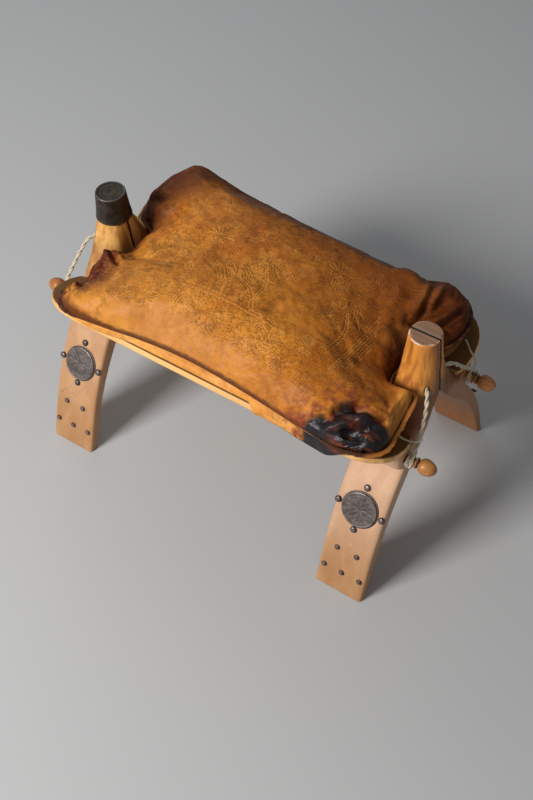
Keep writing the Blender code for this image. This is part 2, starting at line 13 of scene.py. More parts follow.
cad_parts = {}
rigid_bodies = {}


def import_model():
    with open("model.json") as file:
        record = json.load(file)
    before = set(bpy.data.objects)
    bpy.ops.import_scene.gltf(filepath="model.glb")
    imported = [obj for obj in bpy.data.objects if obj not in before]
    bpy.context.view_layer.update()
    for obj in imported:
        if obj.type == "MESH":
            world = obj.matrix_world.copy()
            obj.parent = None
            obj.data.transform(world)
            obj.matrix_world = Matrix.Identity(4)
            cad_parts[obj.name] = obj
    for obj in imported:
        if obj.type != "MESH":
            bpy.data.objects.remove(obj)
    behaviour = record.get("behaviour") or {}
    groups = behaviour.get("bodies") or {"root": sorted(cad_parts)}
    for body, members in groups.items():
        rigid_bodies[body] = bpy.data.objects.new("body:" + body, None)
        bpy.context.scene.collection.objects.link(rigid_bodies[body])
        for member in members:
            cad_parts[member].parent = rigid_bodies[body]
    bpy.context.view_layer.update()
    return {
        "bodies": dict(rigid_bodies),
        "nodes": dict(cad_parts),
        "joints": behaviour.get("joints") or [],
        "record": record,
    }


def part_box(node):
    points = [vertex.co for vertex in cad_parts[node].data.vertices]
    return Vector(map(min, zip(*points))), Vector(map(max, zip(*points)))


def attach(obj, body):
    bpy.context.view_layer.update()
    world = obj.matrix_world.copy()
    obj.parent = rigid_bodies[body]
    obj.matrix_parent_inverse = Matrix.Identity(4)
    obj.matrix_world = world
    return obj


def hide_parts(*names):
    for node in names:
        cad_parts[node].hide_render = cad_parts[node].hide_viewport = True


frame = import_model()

NODES = frame["nodes"]
TINY = 1e-12

# Camera: where it looks and from where
CAMERA_TARGET = Vector((0.0592, -0.0792, 0.2053))
CAMERA_AZIMUTH = math.radians(35.978)
CAMERA_ELEVATION = math.radians(51.089)
CAMERA_ROLL = math.radians(-2.892)
CAMERA_DISTANCE = 1.7872
CAMERA_LENS = 50.76                # mm on a 36 mm sensor

# Seat boards and leg faces, as in the part
BOARD_Y = 0.105
BOARD_Z = 0.2934
BOARD_SLOPE = math.tan(math.radians(20.0))
TROUGH_SOFTEN = 0.030
POMMEL_X = 0.283
POMMEL_TOP = 0.420

# Cushion seam seen from above, as four sides that share their corners: x, y
SEAM_FRONT = [(-0.266, -0.164), (-0.248, -0.177), (-0.224, -0.182), (-0.175, -0.178), (-0.1, -0.167),
              (-0.03, -0.162), (0.05, -0.165), (0.12, -0.172), (0.19, -0.18), (0.245, -0.182),
              (0.282, -0.1725)]
SEAM_RIGHT = [(0.282, -0.1725), (0.299, -0.161), (0.3065, -0.144), (0.3035, -0.118), (0.3, -0.08),
              (0.297, -0.053), (0.29, -0.049), (0.266, -0.0465), (0.25, -0.039), (0.2445, -0.02),
              (0.244, 0.0), (0.2445, 0.022), (0.25, 0.042), (0.264, 0.054), (0.281, 0.062), (0.292, 0.082),
              (0.2955, 0.11), (0.29, 0.137), (0.27, 0.16)]
SEAM_REAR = [(-0.256, 0.167), (-0.24, 0.18), (-0.216, 0.1855), (-0.17, 0.184), (-0.08, 0.179),
             (0.02, 0.174), (0.1, 0.169), (0.16, 0.165), (0.2, 0.168), (0.24, 0.169), (0.27, 0.16)]
SEAM_LEFT = [(-0.266, -0.164), (-0.2745, -0.146), (-0.268, -0.132), (-0.259, -0.112), (-0.264, -0.092),
             (-0.269, -0.078), (-0.266, -0.062), (-0.256, -0.052), (-0.242, -0.042), (-0.237, -0.02),
             (-0.236, 0.0), (-0.237, 0.02), (-0.241, 0.04), (-0.256, 0.049), (-0.273, 0.059),
             (-0.281, 0.078), (-0.28, 0.107), (-0.2715, 0.14), (-0.256, 0.167)]
SEAM_LOW = 0.3200
SEAM_RISE = 0.0140
SEAM_HALF_SPAN = 0.1750
SHOULDER_WIDE = 0.040              # how far in from the seam the leather levels out
SHOULDER_HIGH = 0.038
CROWN = 0.028                      # the crown above the shoulder at the middle
TOP_GRID = (531, 341)              # points along and across the top panel
SLACK_GRID = (111, 71)             # the same for the simulated sheet
UNDER_GRID = (221, 141)
SEAM_POINTS = 1400                 # points on the seam line that distances are measured to
# Where the stuffing is fuller or thinner: x, y, radius, height added to the top, height added to
# the seam, how much narrower the shoulder is
SWELLS = [(-0.228, 0.168, 0.052, 0.013, 0.0, 0.0), (-0.27, 0.115, 0.075, 0.0, 0.0, 0.6),
          (0.285, 0.115, 0.06, -0.011, 0.0, 0.0), (-0.28, -0.115, 0.07, -0.015, -0.009, 0.0),
          (-0.253, -0.053, 0.02, -0.002, 0.012, 0.4), (0.295, -0.05, 0.032, -0.006, 0.013, 0.0),
          (0.262, -0.156, 0.04, -0.004, 0.0, 0.0), (0.3, -0.1, 0.05, -0.008, 0.0, -0.6),
          (0.0, 0.15, 0.11, 0.003, 0.0, 0.0), (-0.12, 0.155, 0.08, 0.003, 0.0, 0.0)]
UNDER_WALL = 0.020                 # width of the underside's rim, from the seam to the boards
HANG_FROM = 0.100                  # at the front, from here to there, the underside hangs over
HANG_TO = 0.250                    # the board's edge
# Sections of the rim: share of the rim, y, z; the first and last come from the panel itself
HANG_SECTION = [(0.15, -0.1775, 0.325), (0.3, -0.179, 0.313), (0.42, -0.1768, 0.3068),
                (0.52, -0.174, 0.309), (0.6, -0.1732, 0.3192)]
BELLY_SECTION = [(0.15, -0.1695, 0.33), (0.3, -0.1722, 0.3255), (0.42, -0.1722, 0.3215),
                 (0.52, -0.17, 0.319), (0.6, -0.167, 0.3178)]
BELLY_END = 0.225                  # and this far out the underside bulges over the board's edge


# ---- small geometry helpers ----

def smooth(value, low, high):
    """Smooth 0 to 1 step of an array or number between low and high."""
    share = np.clip((value - low) / (high - low), 0.0, 1.0)
    return share * share * (3 - 2 * share)


def bell(value, middle, width):
    return np.exp(-((value - middle) / width) ** 2)


def through(points, at):
    """Points on a smooth curve through the given points: a number of them, or shares of its length."""
    route = np.array(points, float)
    padded = np.vstack([2 * route[0] - route[1], route, 2 * route[-1] - route[-2]])
    dense = []
    for before, start, end, after in zip(padded, padded[1:], padded[2:], padded[3:]):
        for t in np.linspace(0.0, 1.0, 24, endpoint=False):
            dense.append(0.5 * (2 * start + (end - before) * t
                                + (2 * before - 5 * start + 4 * end - after) * t ** 2
                                + (3 * start - before - 3 * end + after) * t ** 3))
    dense = np.array([*dense, route[-1]])
    steps = np.linalg.norm(np.diff(dense, axis=0), axis=1)
    along = np.concatenate([[0.0], np.cumsum(steps)])
    shares = np.linspace(0.0, 1.0, at) if isinstance(at, int) else at
    return np.stack([np.interp(shares * along[-1], along, dense[:, k])
                     for k in range(route.shape[1])], axis=1)


def crowded(count):
    """count shares from 0 to 1 that crowd together at both ends."""
    middle = (np.arange(count - 1) + 0.5) / (count - 1)
    gaps = 1.0 - 0.90 * np.exp(-(middle / 0.07) ** 2) - 0.90 * np.exp(-((1 - middle) / 0.07) ** 2)
    shares = np.concatenate([[0.0], np.cumsum(gaps)])
    return shares / shares[-1]


def add_mesh(name, points, faces, finish):
    mesh = bpy.data.meshes.new(name)
    mesh.from_pydata([tuple(p) for p in points], [], faces)
    mesh.shade_smooth()
    mesh.materials.append(finish)
    made = bpy.data.objects.new(name, mesh)
    bpy.context.scene.collection.objects.link(made)
    return made


def store(made, name, values):
    """Keep one number per point on a mesh, for its material."""
    layer = made.data.attributes.new(name, "FLOAT", "POINT")
    layer.data.foreach_set("value", np.ascontiguousarray(values, dtype=np.float32).ravel())


def lattice_faces(rows, columns, start=0, wrap=False):
    """Quads between neighbouring rows and columns of a lattice of points."""
    faces = []
    for r in range(rows - 1):
        for c in range(columns if wrap else columns - 1):
            after = (c + 1) % columns
            low = start + r * columns
            high = low + columns
            faces.append((low + c, low + after, high + after, high + c))
    return faces


# ---- materials ----

class Finish:
    """A node material, built up call by call round its Principled shader."""

    def __init__(self, name, **inputs):
        self.material = bpy.data.materials.new(name)
        self.material.use_nodes = True
        self.tree = self.material.node_tree
        self.shader = self.tree.nodes["Principled BSDF"]
        self.colour = None
        self.set(**inputs)

    def fill(self, sockets, values):
        for socket, value in zip(sockets, values):
            if isinstance(value, bpy.types.NodeSocket):
                self.tree.links.new(value, socket)
            else:
                socket.default_value = value

    def fill_named(self, node, inputs):
        """Fill inputs by name; an underscore in a name stands for a space."""
        self.fill([node.inputs[name.replace("_", " ")] for name in inputs], inputs.values())

    def set(self, **inputs):
        self.fill_named(self.shader, inputs)

    def add(self, kind, *values, **named):
        """A new node: values fill its first inputs, capitalised names are inputs and others settings."""
        node = self.tree.nodes.new("ShaderNode" + kind)
        for name, value in named.items():
            if name.islower():
                setattr(node, name, value)
        self.fill(node.inputs, values)
        self.fill_named(node, {name: value for name, value in named.items() if not name.islower()})
        return node

    def paint(self, mask, tint, share=1.0):
        """Lay a colour over the finish's own, as a share of it where mask is 1."""
        self.colour = self.mix(mask if share == 1.0 else self.times(mask, share), self.colour, tint)

    def place(self, stretch=(1.0, 1.0, 1.0), turn=(0.0, 0.0, 0.0)):
        """Object coordinates, stretched and turned."""
        here = self.add("TexCoord").outputs["Object"]
        return self.add("Mapping", Vector=here, Scale=stretch, Rotation=turn).outputs[0]

    def noise(self, scale, where=None, detail=4.0, rough=0.55, warp=0.0):
        where = self.place() if where is None else where
        return self.add("TexNoise", Vector=where, Scale=scale, Detail=detail, Roughness=rough,
                        Distortion=warp).outputs["Fac"]

    def ridges(self, *args, **named):
        """How far a noise is from its middle: 0 along thin wandering lines."""
        return self.size(self.minus(self.noise(*args, **named), 0.5))

    def cells(self, scale, feature="F1"):
        return self.add("TexVoronoi", feature=feature, Vector=self.place(), Scale=scale).outputs["Distance"]

    def maths(self, operation, first, second=0.0):
        return self.add("Math", first, second, operation=operation).outputs[0]

    def times(self, first, second):
        return self.maths("MULTIPLY", first, second)

    def plus(self, first, second):
        return self.maths("ADD", first, second)

    def minus(self, first, second):
        return self.maths("SUBTRACT", first, second)

    def size(self, value):
        return self.maths("ABSOLUTE", value)

    def larger(self, first, second):
        return self.maths("MAXIMUM", first, second)

    def between(self, value, low, high):
        """0 below low, 1 above high and smooth between."""
        return self.add("MapRange", interpolation_type="SMOOTHSTEP", Value=value, From_Min=low,
                        From_Max=high).outputs[0]

    def mix(self, share, first, second):
        """Colour mix: first where share is 0, second where it is 1."""
        node = self.add("Mix", share, data_type="RGBA")
        self.fill(node.inputs[6:8], [(*v, 1.0) if isinstance(v, tuple) else v for v in (first, second)])
        return node.outputs[2]

    def blend(self, share, first, second):
        """The same for two numbers."""
        node = self.add("Mix", share)
        self.fill(node.inputs[2:4], (first, second))
        return node.outputs[0]

    def attribute(self, name):
        return self.add("Attribute", attribute_name=name).outputs["Fac"]

    def axis(self, letter, source="Object"):
        """One object coordinate, or with "Normal" one part of the surface normal."""
        return self.add("SeparateXYZ", self.add("TexCoord").outputs[source]).outputs[letter]

    def distance(self, point, stretch=(1.0, 1.0, 0.0)):
        """Distance to a point, with each direction stretched; by default seen from above."""
        return self.add("VectorMath", self.place(stretch), tuple(p * s for p, s in zip(point, stretch)),
                        operation="DISTANCE").outputs["Value"]

    def wander(self, texture, amount):
        """A texture as a shift of up to half the amount either way."""
        return self.times(self.minus(texture, 0.5), amount)

    def strokes(self, scale, pitch, size):
        """Bunches of parallel strokes, each turned its own way: 1 on a stroke, 0 between."""
        here = self.place()
        cell = self.add("TexVoronoi", voronoi_dimensions="2D", Vector=here, Scale=scale)
        local = self.add("VectorMath", here, cell.outputs["Position"], operation="SUBTRACT").outputs[0]
        chance = self.add("SeparateColor", cell.outputs["Color"]).outputs
        turned_way = self.add("VectorRotate", rotation_type="Z_AXIS", Vector=local,
                              Angle=self.times(chance[0], 2.2)).outputs[0]
        across, along, _ = self.add("SeparateXYZ", turned_way).outputs
        drift = self.plus(across, self.times(self.noise(45.0), 0.006))
        wave = self.maths("SINE", self.times(drift, 2 * math.pi / pitch))
        short = self.between(self.size(along), 0.50 * size, 0.35 * size)
        wide = self.between(self.size(across), 1.0 * size, 0.9 * size)
        line = self.times(self.between(wave, 0.30, 0.85), self.times(short, wide))
        return self.times(line, self.maths("GREATER_THAN", chance[1], 0.42))

    def scribbles(self, scale, share):
        """Thin wandering lines in patches that fill about a share of the surface."""
        lines = self.between(self.ridges(scale, detail=1.0, warp=1.4), 0.026, 0.010)
        patches = self.noise(11.0, detail=1.0)
        return self.times(lines, self.between(patches, 0.62 - 0.3 * share, 0.66 - 0.3 * share))

    def bump(self, height, distance, strength, below=None):
        node = self.add("Bump", Height=height, Distance=distance, Strength=strength)
        if below is not None:
            self.fill_named(node, {"Normal": below})
        return node.outputs[0]


def scaled(colour, by):
    return tuple(by * c for c in colour)


def wood(name, pale, dark, along, gloss, wear=(0.75, 0.55, 0.34)):
    """Straight-grained varnished wood whose grain runs along an axis, 0 to 2."""
    made = Finish(name)
    stretch = [1.0, 1.0, 1.0]
    stretch[along] = 0.05
    grain = made.place(tuple(stretch))
    bands = made.noise(38.0, grain, detail=3.0, rough=0.5, warp=0.6)
    fibres = made.noise(420.0, grain, detail=2.0, rough=0.6)
    made.colour = made.mix(made.between(bands, 0.36, 0.66), dark, pale)
    made.paint(made.between(fibres, 0.52, 0.72), scaled(dark, 0.55), 0.35)
    made.paint(made.between(made.noise(9.0, detail=3.0), 0.45, 0.75), scaled(dark, 0.70), 0.30)
    made.paint(made.between(made.noise(60.0, detail=5.0), 0.66, 0.74), wear, 0.35)
    made.set(Roughness=made.blend(made.between(fibres, 0.35, 0.65), gloss, gloss + 0.14),
             Normal=made.bump(fibres, 0.0004, 0.35, made.bump(bands, 0.0006, 0.25)))
    return made


def leg_wood():
    """Beech: pinkish where the leg meets the seat, golden below, orange or honey on the pommels."""
    made = wood("beech_finish", (0.560, 0.320, 0.165), (0.420, 0.220, 0.100), 2, gloss=0.42)
    height, x, y = made.axis("Z"), made.axis("X"), made.axis("Y")
    right = made.between(x, -0.1, 0.1)
    drift = made.plus(height, made.times(made.noise(7.0), 0.05))
    pink = made.mix(right, (0.46, 0.245, 0.115), (0.64, 0.40, 0.27))
    made.paint(0.50, made.mix(made.between(drift, 0.06, 0.19), (0.36, 0.160, 0.045), pink))
    # painted shade: the rear right-hand leg, which stands in shade, is painted darker and redder
    made.paint(made.times(made.between(y, -0.05, 0.05), made.between(x, -0.05, 0.05)),
               (0.36, 0.120, 0.038), 0.65)
    # dark drying cracks and pores, fine and long
    upright = made.place((1.0, 1.0, 0.10))
    cracks = made.between(made.ridges(30.0, upright, detail=2.0, warp=0.4), 0.008, 0.002)
    cracks = made.times(cracks, made.between(made.noise(14.0), 0.52, 0.60))
    made.paint(cracks, (0.16, 0.07, 0.03), 0.6)
    # pommels: orange on the right and honey on the left, streaked, and darker near the cushion, partly wax
    # and partly painted shade from the cushion
    lower = made.colour
    streak = made.between(made.noise(60.0, upright, detail=4.0, warp=0.5), 0.38, 0.62)
    warm = made.mix(streak, (0.33, 0.100, 0.012), (0.66, 0.260, 0.040))
    honey = made.mix(streak, (0.42, 0.175, 0.032), (0.72, 0.390, 0.105))
    made.colour = made.mix(right, honey, warm)
    wax_and_painted_shade = made.plus(height, made.times(made.noise(38.0, detail=4.0), 0.055))
    wax_and_painted_shade = made.times(made.between(wax_and_painted_shade, 0.380, 0.348), made.blend(right, 0.45, 0.80))
    made.paint(wax_and_painted_shade, (0.17, 0.052, 0.016))
    made.paint(made.between(made.noise(150.0, detail=3.0), 0.66, 0.72), (0.12, 0.045, 0.015), 0.6)
    made.colour = made.mix(made.between(drift, 0.285, 0.318), lower, made.colour)
    # raw end grain on the top without a cap, with bare wood round its rim
    bare = made.between(x, 0.0, 0.1)
    top = made.times(made.between(height, POMMEL_TOP - 0.0012, POMMEL_TOP - 0.0004), bare)
    streaks = made.noise(260.0, made.place((0.08, 1.0, 1.0)), detail=3.0)
    made.paint(top, made.mix(streaks, (0.105, 0.052, 0.028), (0.36, 0.200, 0.115)))
    rim = made.times(made.between(made.distance((POMMEL_X, 0.0, POMMEL_TOP)), 0.0212, 0.0236),
                     made.between(height, POMMEL_TOP - 0.0032, POMMEL_TOP - 0.0012))
    rim = made.times(made.times(rim, made.between(made.noise(90.0), 0.38, 0.52)), bare)
    made.paint(rim, (0.66, 0.42, 0.27))
    # painted shade: the slit between the two halves is painted black inside, where shade falls
    slit = made.times(made.between(made.size(y), 0.0026, 0.0014), made.between(height, 0.29, 0.31))
    made.paint(slit, (0.018, 0.009, 0.006))
    made.set(Base_Color=made.colour)
    return made.material


def board_wood():
    """Oiled boards: bright wood with lighter worn patches, darkened to olive on their upward faces by
    painted shade from the cushion above.
    """
    made = wood("board_finish", (0.90, 0.540, 0.210), (0.70, 0.360, 0.110), 0, gloss=0.34,
                wear=(0.80, 0.60, 0.35))
    # painted shade: faces turned upward, under the cushion, are painted dark olive
    upward = made.between(made.axis("Z", "Normal"), 0.55, 0.85)
    painted_shade_top = made.mix(made.noise(22.0, detail=4.0), (0.060, 0.025, 0.006), (0.20, 0.090, 0.022))
    made.paint(upward, painted_shade_top, 0.94)
    made.set(Base_Color=made.colour, Specular_IOR_Level=made.blend(upward, 0.5, 0.12))
    return made.material


def turned_wood():
    made = wood("turned_finish", (0.56, 0.240, 0.064), (0.34, 0.120, 0.028), 0, gloss=0.30)
    # painted shade: the turned grooves are painted nearly black
    made.paint(made.attribute("groove"), (0.035, 0.014, 0.008))
    made.set(Base_Color=made.colour)
    return made.material


def bronze(name, dark, rubbed_and_highlit):
    """Oxidised bronze, rubbed bright where its relief stands proud."""
    made = Finish(name, Metallic=0.75)
    patches = made.noise(85.0, detail=5.0, rough=0.65)
    fine = made.noise(700.0, detail=3.0)
    worn = made.times(made.attribute("wear"), made.between(patches, 0.25, 0.6))
    made.colour = made.mix(made.between(patches, 0.35, 0.7), dark, scaled(dark, 1.9))
    made.paint(worn, rubbed_and_highlit)
    made.set(Base_Color=made.colour, Normal=made.bump(fine, 0.0002, 0.4),
             Roughness=made.blend(worn, made.blend(patches, 0.42, 0.62), 0.30))
    return made.material


# Dark places on the cushion near its corners: centre, radius, how broken their outline is, how dark
CORNER_SPOTS = [((-0.262, 0.150, 0.34), 0.108, 0.06, 0.86), ((-0.274, -0.088, 0.34), 0.078, 0.14, 0.82),
                ((0.295, 0.095, 0.34), 0.085, 0.12, 0.25)]


def leather(name, tooled):
    """Waxed vegetable-tanned leather, golden at the front and dark at the rear and along its seams."""
    made = Finish(name)
    seam, x, y = made.attribute("seam"), made.axis("X"), made.axis("Y")
    clouds = made.noise(9.0, detail=5.0, rough=0.6, warp=0.8)
    mottle = made.noise(48.0, detail=5.0, rough=0.65)
    fibres = made.noise(170.0, made.place((0.45, 1.0, 1.0), (0.0, 0.0, 0.5)), detail=5.0, rough=0.75)
    brown = (0.135, 0.030, 0.005)
    gold, tan, shade = (((0.550, 0.200, 0.021), (0.390, 0.115, 0.010), 0.78) if tooled else
                        ((0.900, 0.440, 0.120), (0.700, 0.270, 0.050), 0.30))
    made.colour = made.mix(made.between(clouds, 0.38, 0.64), tan, gold)
    made.paint(made.between(mottle, 0.46, 0.70), brown, 0.42)
    made.paint(made.between(fibres, 0.46, 0.68), brown, 0.38)
    # the rear and the right-hand end are darker than the front and the front is lighter gold: partly the
    # leather's own tone, partly painted shade at the rear and painted light at the front
    drift = made.plus(made.plus(made.times(x, 0.9), made.times(y, 1.9)), made.times(clouds, 0.30))
    made.paint(made.between(drift, 0.05, -0.25), (0.690, 0.305, 0.058), 0.36)
    made.paint(made.between(drift, 0.02, 0.60), brown, shade)
    # dark band along the seam: broad at the ends and the rear, the leather's own darker edges, and narrow
    # at the front, a painted shade line in the seam's groove
    clean = made.times(made.between(x, 0.10, 0.20), made.between(y, 0.0, -0.05))
    clean = made.larger(clean, made.times(made.between(y, -0.128, -0.155), 0.75))
    ends = made.times(made.between(made.size(x), 0.16, 0.27), made.blend(clean, 1.0, 0.12))
    band = made.plus(made.times(ends, 0.024), made.times(made.between(y, -0.05, 0.16), 0.028))
    ragged = made.plus(made.maths("DIVIDE", seam, made.plus(band, 0.0007)), made.wander(mottle, 2.4))
    dark = made.between(ragged, 1.7, 0.2)
    made.paint(dark, (0.072, 0.017, 0.006), 0.88)
    for centre, radius, broken, depth in CORNER_SPOTS:
        near = made.plus(made.distance(centre), made.wander(mottle, broken))
        made.paint(made.between(near, radius, 0.45 * radius), (0.080, 0.018, 0.006), depth)
    # a red-brown bloom beside the left-hand front corner
    near = made.plus(made.distance((-0.236, -0.100, 0.34), (0.80, 1.0, 0.0)), made.wander(mottle, 0.16))
    made.paint(made.between(near, 0.070, 0.020), (0.210, 0.050, 0.012), 0.55)
    # fine dark veins in the creased leather of the left-hand front corner
    veins = made.ridges(46.0, made.place((1.0, 0.6, 1.0)), detail=3.0, rough=0.5, warp=0.9)
    creased = made.between(made.distance((-0.276, -0.115, 0.34), (0.9, 0.6, 0.0)), 0.062, 0.034)
    veins = made.times(made.between(veins, 0.085, 0.020), creased)
    made.paint(veins, (0.065, 0.012, 0.010), 0.85)
    # the wall of the clean corner catches the light
    wall = made.times(made.between(x, 0.262, 0.280), made.between(y, -0.04, -0.07))
    made.paint(made.times(wall, made.between(seam, 0.024, 0.010)), (0.78, 0.330, 0.060), 0.65)
    specks = made.times(made.between(made.cells(150.0), 0.14, 0.06), made.between(mottle, 0.50, 0.60))
    made.paint(specks, (0.10, 0.03, 0.015), 0.6)
    # the soaked front right-hand corner: a long stain beside the seam, black with red-brown folds
    pools = made.maths("MINIMUM", made.distance((0.270, -0.154, 0.34), (0.86, 1.25, 0.0)),
                       made.plus(made.distance((0.230, -0.182, 0.34), (0.80, 1.4, 0.0)), 0.010))
    spill = made.plus(pools, made.plus(made.wander(mottle, 0.018), made.wander(clouds, 0.012)))
    soaked = made.between(spill, 0.043, 0.035)
    halo = made.between(spill, 0.108, 0.036)
    made.paint(made.times(halo, made.between(mottle, 0.40, 0.62)), (0.20, 0.040, 0.018), 0.95)
    folds = made.noise(38.0, made.place((0.22, 2.0, 1.0), (0.0, 0.0, 0.25)), detail=4.0, warp=0.7)
    folds = made.times(made.between(folds, 0.47, 0.64), made.between(y, -0.142, -0.160))
    folds = made.times(folds, made.between(x, 0.222, 0.250))
    made.paint(soaked, made.mix(folds, (0.011, 0.008, 0.010), (0.150, 0.034, 0.013)))
    normal = made.bump(made.noise(190.0, detail=4.0, rough=0.6), 0.0010, 0.42)
    normal = made.bump(made.cells(520.0, "SMOOTH_F1"), 0.0005, 0.20, normal)
    normal = made.bump(fibres, 0.0012, 0.35, normal)
    normal = made.bump(veins, -0.0014, 0.7, normal)
    if tooled:
        lines = made.larger(made.strokes(38.0, 0.0044, 0.012), made.scribbles(95.0, 0.75))
        lines = made.times(lines, made.between(seam, 0.022, 0.034))
        lines = made.times(lines, made.between(halo, 0.8, 0.3))
        normal = made.bump(lines, -0.0016, 0.90, normal)
        lines = made.larger(lines, made.attribute("tooling"))
        # painted shade darkens the core of each tooled line and painted highlight lightens its edges, most
        # towards the lit front
        made.paint(made.maths("POWER", lines, 3.0), (0.14, 0.036, 0.006), 0.30)
        rubbed_and_highlit = made.times(lines, made.minus(1.0, lines))
        rubbed_and_highlit = made.times(rubbed_and_highlit, made.blend(made.between(drift, 0.12, 0.45), 0.9, 0.20))
        made.paint(rubbed_and_highlit, (0.80, 0.400, 0.090))
    rough = made.blend(made.between(mottle, 0.3, 0.7), 0.40, 0.55)
    made.set(Base_Color=made.colour, Normal=normal, Roughness=made.blend(soaked, rough, 0.38),
             Specular_IOR_Level=made.blend(soaked, made.blend(dark, 0.15, 0.07), 0.30))
    return made.material


def cotton():
    made = Finish("cotton_finish", Roughness=0.85, Sheen_Weight=0.3)
    fluff = made.noise(420.0, detail=4.0)
    made.colour = made.mix(fluff, (0.46, 0.385, 0.25), (0.76, 0.68, 0.52))
    # painted shade: the grooves between the plies are darkened
    made.paint(made.attribute("ply"), (0.22, 0.165, 0.10), 0.5)
    made.set(Base_Color=made.colour, Normal=made.bump(fluff, 0.0006, 0.5))
    return made.material


def welt_leather():
    """Raw leather edges of the seam, dark with wax."""
    made = Finish("welt_finish", Roughness=0.60, Specular_IOR_Level=0.15)
    x, y = made.axis("X"), made.axis("Y")
    patches = made.noise(60.0, detail=5.0, rough=0.6)
    made.colour = made.mix(made.between(patches, 0.4, 0.65), (0.045, 0.015, 0.012), (0.16, 0.050, 0.016))
    pale = made.times(made.attribute("edge"), made.between(x, -0.26, 0.24))
    made.paint(made.times(pale, made.between(y, 0.07, 0.0)), (0.42, 0.150, 0.028), 0.9)
    made.paint(made.between(made.size(x), 0.24, 0.20), (0.26, 0.085, 0.018), 0.6)
    soaked = made.between(made.distance((0.250, -0.178, 0.33)), 0.046, 0.036)
    made.paint(soaked, (0.025, 0.010, 0.009), 0.85)
    made.set(Base_Color=made.colour, Normal=made.bump(patches, 0.0008, 0.4))
    return made.material


# ---- camera, floor and light ----

def make_camera():
    across = math.cos(CAMERA_ELEVATION)
    back = Vector((math.sin(CAMERA_AZIMUTH) * across, -math.cos(CAMERA_AZIMUTH) * across,
                   math.sin(CAMERA_ELEVATION)))
    right = (-back).cross(Vector((0, 0, 1))).normalized()
    up = back.cross(right)
    turn = Matrix((right, up, back)).transposed() @ Matrix.Rotation(CAMERA_ROLL, 3, "Z")
    camera = bpy.data.objects.new("camera", bpy.data.cameras.new("camera"))
    camera.matrix_world = Matrix.Translation(CAMERA_TARGET + CAMERA_DISTANCE * back) @ turn.to_4x4()
    camera.data.lens = CAMERA_LENS
    camera.data.sensor_width = 36.0
    bpy.context.scene.collection.objects.link(camera)
    bpy.context.scene.camera = camera


def make_light(name, place, size, watts, colour):
    lamp = bpy.data.lights.new(name, "AREA")
    lamp.size = size
    lamp.energy = watts
    lamp.color = colour
    made = bpy.data.objects.new(name, lamp)
    made.location = place
    made.rotation_euler = (Vector((0, 0, 0.25)) - Vector(place)).to_track_quat("-Z", "Y").to_euler()
    bpy.context.scene.collection.objects.link(made)


def make_stage():
    floor = add_mesh("floor", [(-6, -6, 0), (6, -6, 0), (6, 6, 0), (-6, 6, 0)], [(0, 1, 2, 3)],
                     Finish("floor_finish", Base_Color=(0.436, 0.441, 0.444, 1.0), Roughness=0.75).material)
    world = bpy.data.worlds.new("studio")
    world.use_nodes = True
    world.node_tree.nodes["Background"].inputs["Color"].default_value = (0.95, 0.97, 1.0, 1.0)
    world.node_tree.nodes["Background"].inputs["Strength"].default_value = 0.22
    bpy.context.scene.world = world
    make_light("key", (-1.02, -2.38, 2.15), 1.1, 118.0, (1.0, 0.98, 0.96))
    make_light("fill", (-1.9, 1.2, 2.0), 1.8, 11.0, (0.94, 0.97, 1.0))
    bpy.context.scene.view_settings.view_transform = "Standard"


# ---- cushion ----

def seam_sides(along, across):
    """The four sides of the seam, each at the given shares of its length."""
    return (through(SEAM_FRONT, along), through(SEAM_REAR, along),
            through(SEAM_LEFT, across), through(SEAM_RIGHT, across))


def seam_loop(count):
    """The whole seam as one closed line, anticlockwise seen from above."""
    line = [*SEAM_FRONT[:-1], *SEAM_RIGHT[:-1], *SEAM_REAR[:0:-1], *SEAM_LEFT[:0:-1]]
    return through([*line, *line, line[0]], np.linspace(0.5, 1.0, count + 1)[:-1])


def plan(size):
    """Lattice of plan points that fills the seam: a Coons patch between its four sides."""
    along = crowded(size[0])
    across = crowded(size[1])
    front, rear, left, right = seam_sides(along, across)
    u = along[:, None, None]
    v = across[None, :, None]
    ruled = (1 - v) * front[:, None] + v * rear[:, None] + (1 - u) * left[None] + u * right[None]
    corners = ((1 - u) * (1 - v) * front[0] + u * (1 - v) * front[-1]
               + (1 - u) * v * rear[0] + u * v * rear[-1])
    return ruled - corners


def to_seam(points):
    """Distance of each plan point to the seam, and the nearest place on the seam."""
    loop = seam_loop(SEAM_POINTS)
    tree = kdtree.KDTree(len(loop))
    for number, spot in enumerate(loop):
        tree.insert((spot[0], spot[1], 0.0), number)
    tree.balance()
    flat = points.reshape(-1, 2)
    closest = np.array([tree.find((x, y, 0.0))[1] for x, y in flat])
    reach = np.full(len(flat), np.inf)
    nearest = np.empty((len(flat), 2))
    for start in (closest - 1, closest):
        step = loop[(start + 1) % len(loop)] - loop[start]
        share = np.clip(((flat - loop[start]) * step).sum(1) / (step ** 2).sum(1), 0.0, 1.0)
        foot = loop[start] + share[:, None] * step
        away = np.linalg.norm(flat - foot, axis=1)
        better = away < reach
        reach[better] = away[better]
        nearest[better] = foot[better]
    return reach.reshape(points.shape[:-1]), nearest.reshape(points.shape)


def swell(points, column):
    """What the fuller and thinner places add: column 3 to the top, 4 to the seam, 5 to the narrowing."""
    total = np.zeros(points.shape[:-1])
    for place in SWELLS:
        away = np.hypot(points[..., 0] - place[0], points[..., 1] - place[1])
        total += place[column] * bell(away, 0.0, place[2])
    return total


def seam_height(points):
    climb = SEAM_RISE * np.minimum(1.0, np.abs(points[..., 1]) / SEAM_HALF_SPAN)
    return SEAM_LOW + climb + swell(points, 4)


def trough(points):
    """Upper side of the seat boards, with the gap between them bridged."""
    spread = np.hypot(points[..., 1], TROUGH_SOFTEN)
    return BOARD_Z + 0.0008 + (spread - BOARD_Y) * BOARD_SLOPE


